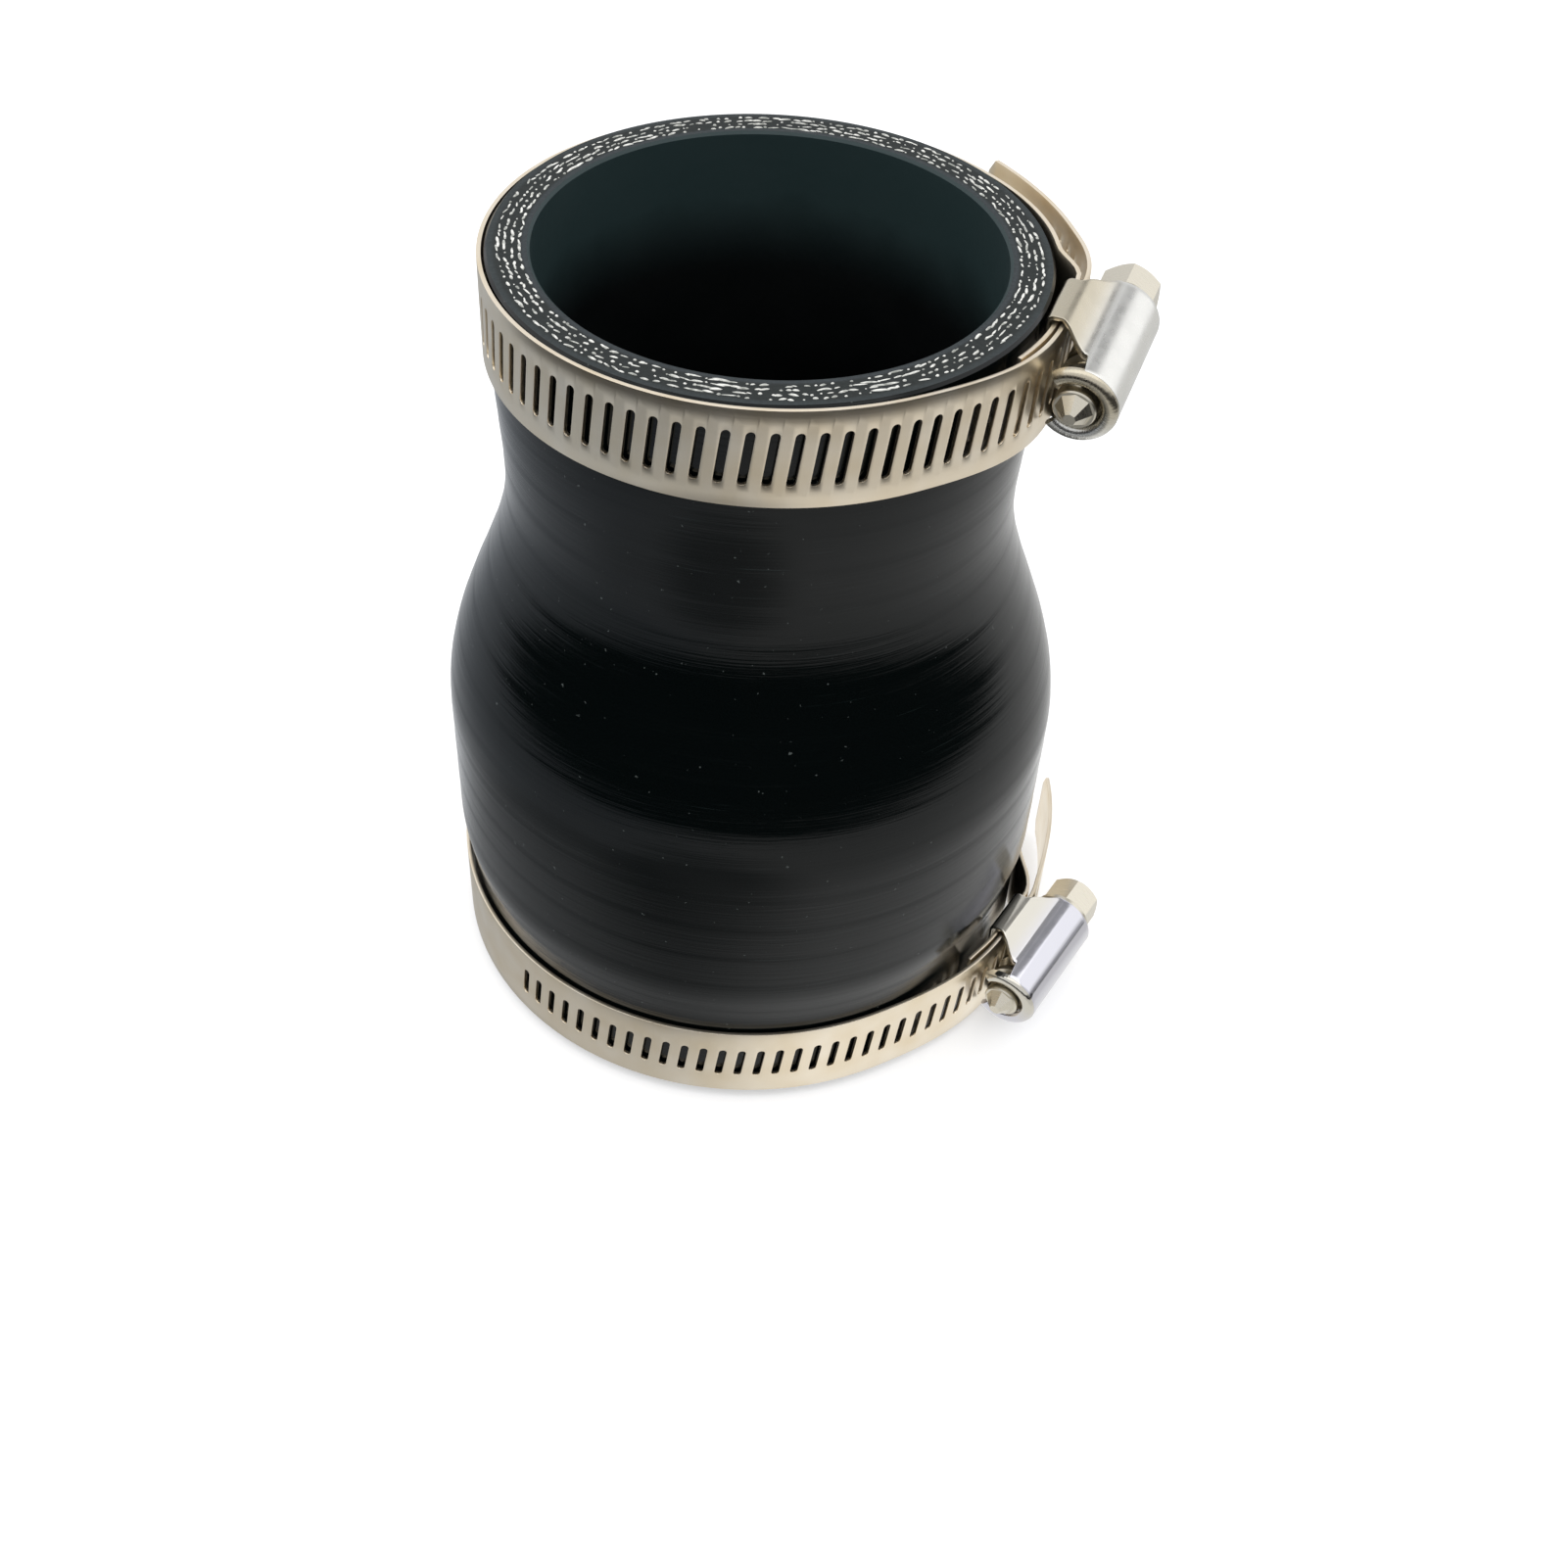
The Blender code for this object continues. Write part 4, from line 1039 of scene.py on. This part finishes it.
def housing_section(clamp):
    """The folded sheet's middle line as (up, out) points, with the number of points in a half and in
    the barrel's top.
    """
    barrel = BARREL_RADIUS + BARREL_WALL / 2
    side = BAND_WIDTH / 2 + GAP + SHEET / 2
    side_top = clamp.outer + BAND_THICKNESS / 2 + GAP
    soft_end = BARREL_ANGLE - CREASE_SOFT
    crease = (
        barrel * math.sin(math.radians(BARREL_ANGLE)),
        clamp.screw + barrel * math.cos(math.radians(BARREL_ANGLE)))
    fold = arc((side - FOLD_RADIUS, clamp.foot + FOLD_RADIUS), FOLD_RADIUS, -90, 0, 6)
    half = [(side - FOOT_REACH, clamp.foot)] + fold
    half += rounded([fold[-1], (side, side_top), crease], SHOULDER_RADIUS, 4)[1:-1]
    top = arc((0.0, clamp.screw), barrel, 90 - soft_end, 90 + soft_end, 40)
    # The press leaves no sharp crease where the shoulder meets the barrel.
    start = Vector(half[-1]).lerp(Vector(crease), 0.35)
    half.append(tuple(start))
    half += bent(start, Vector(crease), Vector(top[0]), (0.2, 0.4, 0.6, 0.8))
    section = half + top + [(-x, y) for x, y in reversed(half)]
    return section, len(half), len(top)


def housing_edges(clamp, out):
    """Front and back end of the sheet where the section is this far out."""
    crease = clamp.screw + (BARREL_RADIUS + SHEET / 2) * math.cos(math.radians(BARREL_ANGLE))
    share = min(max((out - clamp.outer) / (crease - clamp.outer), 0.0), 1.0)
    front = -SADDLE_FRONT - SADDLE_SWEEP * share
    back = SADDLE_BACK + (BARREL_BACK - SADDLE_BACK) * share
    return front, back


def housing_sheet(clamp, steel):
    """The section swept along the screw, with a thicker wall in the barrel."""
    section, flank, barrel = housing_section(clamp)
    bm = bmesh.new()
    attribute = bm.verts.layers.float_vector.new("sheet")
    burnished = bm.verts.layers.float.new("burnished")
    weight = bm.verts.layers.deform.verify()
    grid = []
    run = 0.0
    for i, (y, z) in enumerate(section):
        if i:
            run += math.dist(section[i - 1], (y, z))
        if flank <= i < flank + barrel:
            front, back, wall = -BARREL_FRONT + RING_OVERLAP, BARREL_BACK, 1.0
        else:
            front, back = housing_edges(clamp, z)
            nearest = min(abs(i - flank + 0.5), abs(i - flank - barrel + 0.5))
            wall = max(0.0, 1.0 - nearest / WALL_FADE)
        row = []
        for j in range(SHEET_COLUMNS + 1):
            x = front + (back - front) * j / SHEET_COLUMNS
            vertex = bm.verts.new((x, y, z))
            vertex[attribute] = Vector((x, run, 0.0)) / MM
            vertex[weight][0] = wall
            # Painted shade: points off the barrel take the flanks' darker, warmer colour.
            vertex[burnished] = wall
            row.append(vertex)
        grid.append(row)
    skin(bm, grid)
    bmesh.ops.recalc_face_normals(bm, faces=bm.faces)
    mesh = mesh_from(bm, clamp.name + "_clamp_housing")
    sheet = add_object(mesh.name, mesh, steel)
    sheet.vertex_groups.new(name="barrel")
    solid = sheet.modifiers.new("thickness", "SOLIDIFY")
    solid.thickness = BARREL_WALL
    solid.offset = 0.0
    solid.vertex_group = "barrel"
    solid.thickness_vertex_group = SHEET / BARREL_WALL
    return sheet


# %% Turned-in front end
RING_STEPS = 48
RIM_STEPS = 10
RIM_DEPTH = 0.8 * MM
RING_INSIDE = 0.03 * MM        # the ring stays this much inside the barrel's skin
RING_PROUD = 0.02 * MM         # and stands this much before its end


def end_ring(clamp, steel):
    """The barrel's front end: a turned C with a rolled rim, open to the band."""
    rim = BARREL_RADIUS + BARREL_WALL - RING_INSIDE
    hole = NECK_RADIUS + GAP
    reach = math.acos(-CREST_RADIUS / rim)
    front, back = -BARREL_FRONT - RING_PROUD, -BARREL_FRONT + RING_THICKNESS
    middle, half = (hole + rim) / 2, (rim - hole) / 2
    outline = [(hole, back)]
    outline += [
        (middle - half * math.cos(a), front + RIM_DEPTH - RIM_DEPTH * math.sin(a))
        for a in (math.radians(180 / RIM_STEPS * i) for i in range(RIM_STEPS + 1))]
    outline.append((rim, back))
    bm = bmesh.new()
    burnished = bm.verts.layers.float.new("burnished")
    rings = []
    for i in range(RING_STEPS + 1):
        a = math.pi / 2 - reach + 2 * reach * i / RING_STEPS
        rings.append([
            bm.verts.new((x, radius * math.cos(a), clamp.screw + radius * math.sin(a)))
            for radius, x in outline])
    for vertex in bm.verts:
        # The ring takes the barrel's colour, without the flanks' painted shade.
        vertex[burnished] = 1.0
    skin(bm, rings, closed=True)
    bm.faces.new(rings[0])
    bm.faces.new(rings[-1])
    bmesh.ops.recalc_face_normals(bm, faces=bm.faces)
    mesh = mesh_from(bm, clamp.name + "_end_ring")
    return add_object(mesh.name, mesh, steel)


def joined_with(piece, others, operation="UNION"):
    """Booleans the others into the piece and removes them."""
    for other in others:
        modifier = piece.modifiers.new(other.name, "BOOLEAN")
        modifier.operation = operation
        modifier.solver = "EXACT"
        modifier.object = other
    piece = made_plain(piece)
    for other in others:
        bpy.data.objects.remove(other, do_unlink=True)
    return piece


for clamp, steel in ((upper, satin_steel), (lower, mirror_steel)):
    housing = with_rolled_edges(housing_sheet(clamp, steel), 0.1 * MM)
    housing = joined_with(housing, [end_ring(clamp, steel)])
    housing.matrix_world = clamp.frame()
    housing = made_plain(housing)
    smooth_by_angle(housing, 35)
    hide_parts(clamp.name + "_housing")
    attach(housing, "coupler")
    print(housing.name, triangles(housing), "triangles")

# %% [markdown]
# ## The worm screws
#
# A screw is turned from bar: point, neck, core, collar and head blank share one
# profile. The thread is one tooth wound up the core with a Screw modifier that
# also climbs. The head is a hexagon whose end is turned to a chamfer. The point
# was cut with flats, so it is a cone of eight sides. Booleans join them into
# one solid.

# %% Screw parts
POINT_SIDES = 8
POINT_OVERLAP = 0.3 * MM       # the point's cone reaches this far into the neck
SCREW_STEPS = 48
THREAD_STEPS = 36
ROUND_OVER = 0.15 * MM
DISH_DEPTH = 0.1 * MM          # the head's end is turned to a shallow dish
CHAMFER_DROP = 0.9 * MM        # from the head's end to where its chamfer leaves the corners


def mend(obj, distance, cap_sides=0):
    """Welds the seams, caps holes of so many sides and turns the faces outward."""
    bm = bmesh.new()
    bm.from_mesh(obj.data)
    bmesh.ops.remove_doubles(bm, verts=bm.verts, dist=distance)
    if cap_sides:
        open_edges = [edge for edge in bm.edges if edge.is_boundary]
        bmesh.ops.holes_fill(bm, edges=open_edges, sides=cap_sides)
    bmesh.ops.recalc_face_normals(bm, faces=bm.faces)
    bm.to_mesh(obj.data)
    bm.free()
    return obj


def turned_mesh(name, profile):
    return mend(made_plain(turned_object(name, profile, SCREW_STEPS, closed=False)), WELD)


def cone(name, sides, low_radius, high_radius, depth, middle):
    """A cone or prism along the screw, with flat sides."""
    bm = bmesh.new()
    bmesh.ops.create_cone(
        bm, cap_ends=True, segments=sides, depth=depth, radius1=low_radius, radius2=high_radius)
    bmesh.ops.translate(bm, verts=bm.verts, vec=(0, 0, middle))
    return add_object(name, mesh_from(bm, name))


def screw_body(name):
    collar_back = BARREL_BACK + GAP
    head_back = collar_back + COLLAR_LENGTH
    shoulder = -BARREL_FRONT + RING_THICKNESS + GAP
    return turned_mesh(name, [
        (0.0, head_back + HEAD_LENGTH / 2),
        (CORE_RADIUS, head_back + HEAD_LENGTH / 2),
        (CORE_RADIUS, head_back),
        (COLLAR_RADIUS - ROUND_OVER, head_back),
        (COLLAR_RADIUS, head_back - ROUND_OVER),
        (COLLAR_RADIUS, collar_back + ROUND_OVER),
        (COLLAR_RADIUS - ROUND_OVER, collar_back),
        (CORE_RADIUS, collar_back),
        (CORE_RADIUS, shoulder),
        (NECK_RADIUS, shoulder),
        (NECK_RADIUS, -BARREL_FRONT - GAP + ROUND_OVER),
        (NECK_RADIUS - ROUND_OVER, -BARREL_FRONT - GAP),
        (0.0, -BARREL_FRONT - GAP)])


def screw_point(name):
    """The faceted cone beyond the neck."""
    base = -BARREL_FRONT - GAP
    return cone(
        name, POINT_SIDES, POINT_FLAT_RADIUS * 0.7, NECK_RADIUS * 0.98,
        POINT_LENGTH + POINT_OVERLAP, base + (POINT_OVERLAP - POINT_LENGTH) / 2)


def worm_thread(name):
    back = BARREL_BACK - GAP
    front = -BARREL_FRONT + RING_THICKNESS + 2 * GAP
    start = (front + back - THREAD_TURNS * SLOT_PITCH) / 2
    root = CORE_RADIUS - GAP
    profile = [
        (CREST_RADIUS, start + TOOTH_CREST / 2),
        (CREST_RADIUS, start - TOOTH_CREST / 2),
        (root, start - TOOTH_ROOT / 2),
        (root, start + TOOTH_ROOT / 2)]
    tooth = turned_object(name, profile, THREAD_STEPS, closed=True)
    modifier = tooth.modifiers["turn"]
    modifier.screw_offset = SLOT_PITCH
    modifier.iterations = THREAD_TURNS
    modifier.use_merge_vertices = False
    return mend(made_plain(tooth), WELD / 10, cap_sides=len(profile))


def hex_head(name):
    bottom = BARREL_BACK + GAP + COLLAR_LENGTH
    top = bottom + HEAD_LENGTH
    corner = HEAD_FLATS / 2 / math.cos(math.radians(30))
    head = cone(name, 6, corner, corner, HEAD_LENGTH, (bottom + top) / 2)
    blank = turned_mesh(name + "_blank", [
        (0.0, top - DISH_DEPTH),
        (HEAD_FLATS / 2 - 0.9 * MM, top - DISH_DEPTH),
        (HEAD_FLATS / 2 - 0.6 * MM, top),
        (HEAD_FLATS / 2 - 0.27 * MM, top),
        (corner + GAP, top - CHAMFER_DROP),
        (corner + GAP, bottom - GAP),
        (0.0, bottom - GAP)])
    return joined_with(head, [blank], "INTERSECT")


# %% Screws
def finish_screw(clamp):
    name = clamp.name + "_worm_screw"
    screw = screw_body(name)
    screw = joined_with(screw, [
        worm_thread(name + "_thread"), hex_head(name + "_head"), screw_point(name + "_point")])
    attribute = screw.data.attributes.new("sheet", "FLOAT_VECTOR", "POINT")
    for vertex in screw.data.vertices:
        attribute.data[vertex.index].vector = vertex.co / MM
    screw.matrix_world = clamp.screw_frame()
    screw = made_plain(screw)
    screw.data.materials.clear()
    screw.data.materials.append(turned_steel)
    smooth_by_angle(screw, 30)
    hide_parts(clamp.name + "_screw")
    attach(screw, clamp.name + "_screw")
    print(screw.name, triangles(screw), "triangles")


for clamp in (upper, lower):
    finish_screw(clamp)

# %% [markdown]
# ## Floor and light
#
# A black glossy body shows its surroundings more than its own colour, so the
# room matters. The table is white in the picture, and it keeps the shadow. What
# the rubber and the steel reflect of it is a pool of light round the object,
# cooler and dimmer to the left, with shade in front and at the left foot and
# a brighter rim close to the body. The room beyond is dark at eye level and
# pale behind and above, which draws the black band on the shoulder and the
# grey on the neck and the foot. One cabinet in it leaves a dim stripe in the
# polished steel.

# %% Table
SHEET_CENTRE = Vector((AXIS.x, 0.03, 0.0))
SHADE_CENTRE = Vector((AXIS.x - 0.02, -0.09, 0.0))
LEFT_FOOT = Vector((AXIS.x - 0.045, -0.035, 0.0))

table_finish, tree, shader = start_material("matt_white_table", "#dcdcdc", 0.0, 0.9)
place = add_node(tree, "ShaderNodeTexCoord").outputs["Object"]


def distance_from(place, centre, near, far, at_near, at_far):
    """A value that changes smoothly with the distance on the table from a centre."""
    tree = place.id_data
    apart = add_node(tree, "ShaderNodeVectorMath", {0: place, 1: centre}, operation="DISTANCE")
    return add_node(
        tree, "ShaderNodeMapRange",
        {"Value": apart.outputs["Value"], "From Min": near, "From Max": far,
         "To Min": at_near, "To Max": at_far},
        interpolation_type="SMOOTHSTEP")


on_table = add_node(tree, "ShaderNodeSeparateXYZ", {0: place}).outputs
sideways = add_node(
    tree, "ShaderNodeMapRange", {"Value": on_table["X"], "From Min": -0.12, "From Max": 0.0})
light_colour = add_node(
    tree, "ShaderNodeMix", {"Factor": sideways, "A": from_hex("#e8eff8"), "B": from_hex("#f8f8f7")},
    data_type="RGBA").outputs["Result"]
pool = add_node(tree, "ShaderNodeMapRange", {"Value": sideways, "To Min": 0.55, "To Max": 0.85})
for shade in (
        distance_from(place, SHADE_CENTRE, 0.02, 0.06, 0.38, 1.0),
        distance_from(place, LEFT_FOOT, 0.03, 0.06, 0.55, 1.0)):
    pool = add_node(tree, "ShaderNodeMath", {0: pool, 1: shade}, operation="MULTIPLY")
at_foot = distance_from(place, AXIS, 0.056, 0.072, 0.2, 0.0)
pool = add_node(tree, "ShaderNodeMath", {0: at_foot, 1: sideways, 2: pool}, operation="MULTIPLY_ADD")
near = distance_from(place, SHEET_CENTRE, 0.2, 0.26, 1.0, 0.03)
behind = add_node(
    tree, "ShaderNodeMapRange", {"Value": on_table["Y"], "From Min": 0.0, "From Max": 0.12},
    interpolation_type="SMOOTHSTEP")
lit = add_node(tree, "ShaderNodeMath", {0: near, 1: behind}, operation="MAXIMUM")
outside_bore = distance_from(place, AXIS, 0.030, 0.037, 0.0, 1.0)
for share in (lit, outside_bore):
    pool = add_node(tree, "ShaderNodeMath", {0: pool, 1: share}, operation="MULTIPLY")
# Painted light and shade: glossy rays see this painted pool, not the lamps' light on the table.
reflected = add_node(tree, "ShaderNodeEmission", {"Color": light_colour, "Strength": pool})
glow = add_node(tree, "ShaderNodeEmission", {"Color": (1, 1, 1, 1), "Strength": 0.42})
in_picture = add_node(tree, "ShaderNodeAddShader", {0: shader, 1: glow})
ray = add_node(tree, "ShaderNodeLightPath").outputs
mirrored = add_node(
    tree, "ShaderNodeMath", {0: ray["Is Glossy Ray"], 1: ray["Is Transmission Ray"]},
    operation="MAXIMUM")
first = add_node(tree, "ShaderNodeMixShader", {0: ray["Is Camera Ray"], 1: shader, 2: in_picture})
second = add_node(tree, "ShaderNodeMixShader", {0: mirrored, 1: first, 2: reflected})
feed(tree.nodes["Material Output"], {"Surface": second})

bm = bmesh.new()
bmesh.ops.create_grid(bm, x_segments=1, y_segments=1, size=3.0)
bmesh.ops.translate(bm, verts=bm.verts, vec=(0, 0, -0.0005))
mesh = mesh_from(bm, "table_top")
add_object("table_top", mesh, table_finish)

# %% Room
CABINET = Vector((0.36, 0.52, 0.77)).normalized()

world = bpy.data.worlds.new("room")
world.use_nodes = True
bpy.context.scene.world = world
tree = world.node_tree
direction = add_node(tree, "ShaderNodeTexCoord").outputs["Generated"]
parts = add_node(tree, "ShaderNodeSeparateXYZ", {0: direction}).outputs
height = add_node(
    tree, "ShaderNodeMapRange", {"Value": parts["Z"], "From Min": 0.1, "From Max": 0.32},
    interpolation_type="SMOOTHSTEP")
depth = add_node(
    tree, "ShaderNodeMapRange", {"Value": parts["Y"], "From Min": -0.05, "From Max": 0.2},
    interpolation_type="SMOOTHSTEP")
lit = add_node(tree, "ShaderNodeMath", {0: height, 1: depth}, operation="MAXIMUM")
level = add_node(tree, "ShaderNodeMapRange", {"Value": lit, "To Min": 0.03, "To Max": 1.0})
# A cabinet above and behind the table draws one dim stripe in the polished steel.
towards_cabinet = add_node(
    tree, "ShaderNodeVectorMath", {0: direction, 1: CABINET}, operation="DOT_PRODUCT")
beside_cabinet = add_node(
    tree, "ShaderNodeMapRange",
    {"Value": towards_cabinet.outputs["Value"], "From Min": 0.985, "From Max": 0.966, "To Min": 0.42},
    interpolation_type="SMOOTHSTEP")
level = add_node(tree, "ShaderNodeMath", {0: level, 1: beside_cabinet}, operation="MULTIPLY")
background = tree.nodes["Background"]
feed(background, {"Color": from_hex("#f6f7fa"), "Strength": level})
white = add_node(tree, "ShaderNodeBackground", {"Color": (1, 1, 1, 1), "Strength": 1.0})
seen = add_node(tree, "ShaderNodeLightPath").outputs["Is Camera Ray"]
chosen = add_node(tree, "ShaderNodeMixShader", {0: seen, 1: background, 2: white})
feed(tree.nodes["World Output"], {"Surface": chosen})


# %% Lamps
def soft_lamp(name, place, width, height, radiance):
    """A large lamp that looks no brighter in the steel than its radiance."""
    data = bpy.data.lights.new(name, "AREA")
    data.shape = "RECTANGLE"
    data.size = width
    data.size_y = height
    data.energy = radiance * math.pi * width * height
    lamp = bpy.data.objects.new(name, data)
    bpy.context.scene.collection.objects.link(lamp)
    lamp.location = place
    aim = Vector((0, 0, 0.05)) - Vector(place)
    lamp.rotation_euler = aim.to_track_quat("-Z", "Y").to_euler()


soft_lamp("left_window", (-0.8, 0.1, 0.5), 0.8, 0.8, 0.6)
soft_lamp("right_window", (0.8, 0.2, 0.5), 0.8, 0.8, 0.45)
soft_lamp("ceiling", (0.0, -0.05, 0.9), 1.3, 0.8, 0.8)
bpy.context.scene.view_settings.view_transform = "Standard"
print("lamps:", ", ".join(lamp.name for lamp in bpy.data.lights))
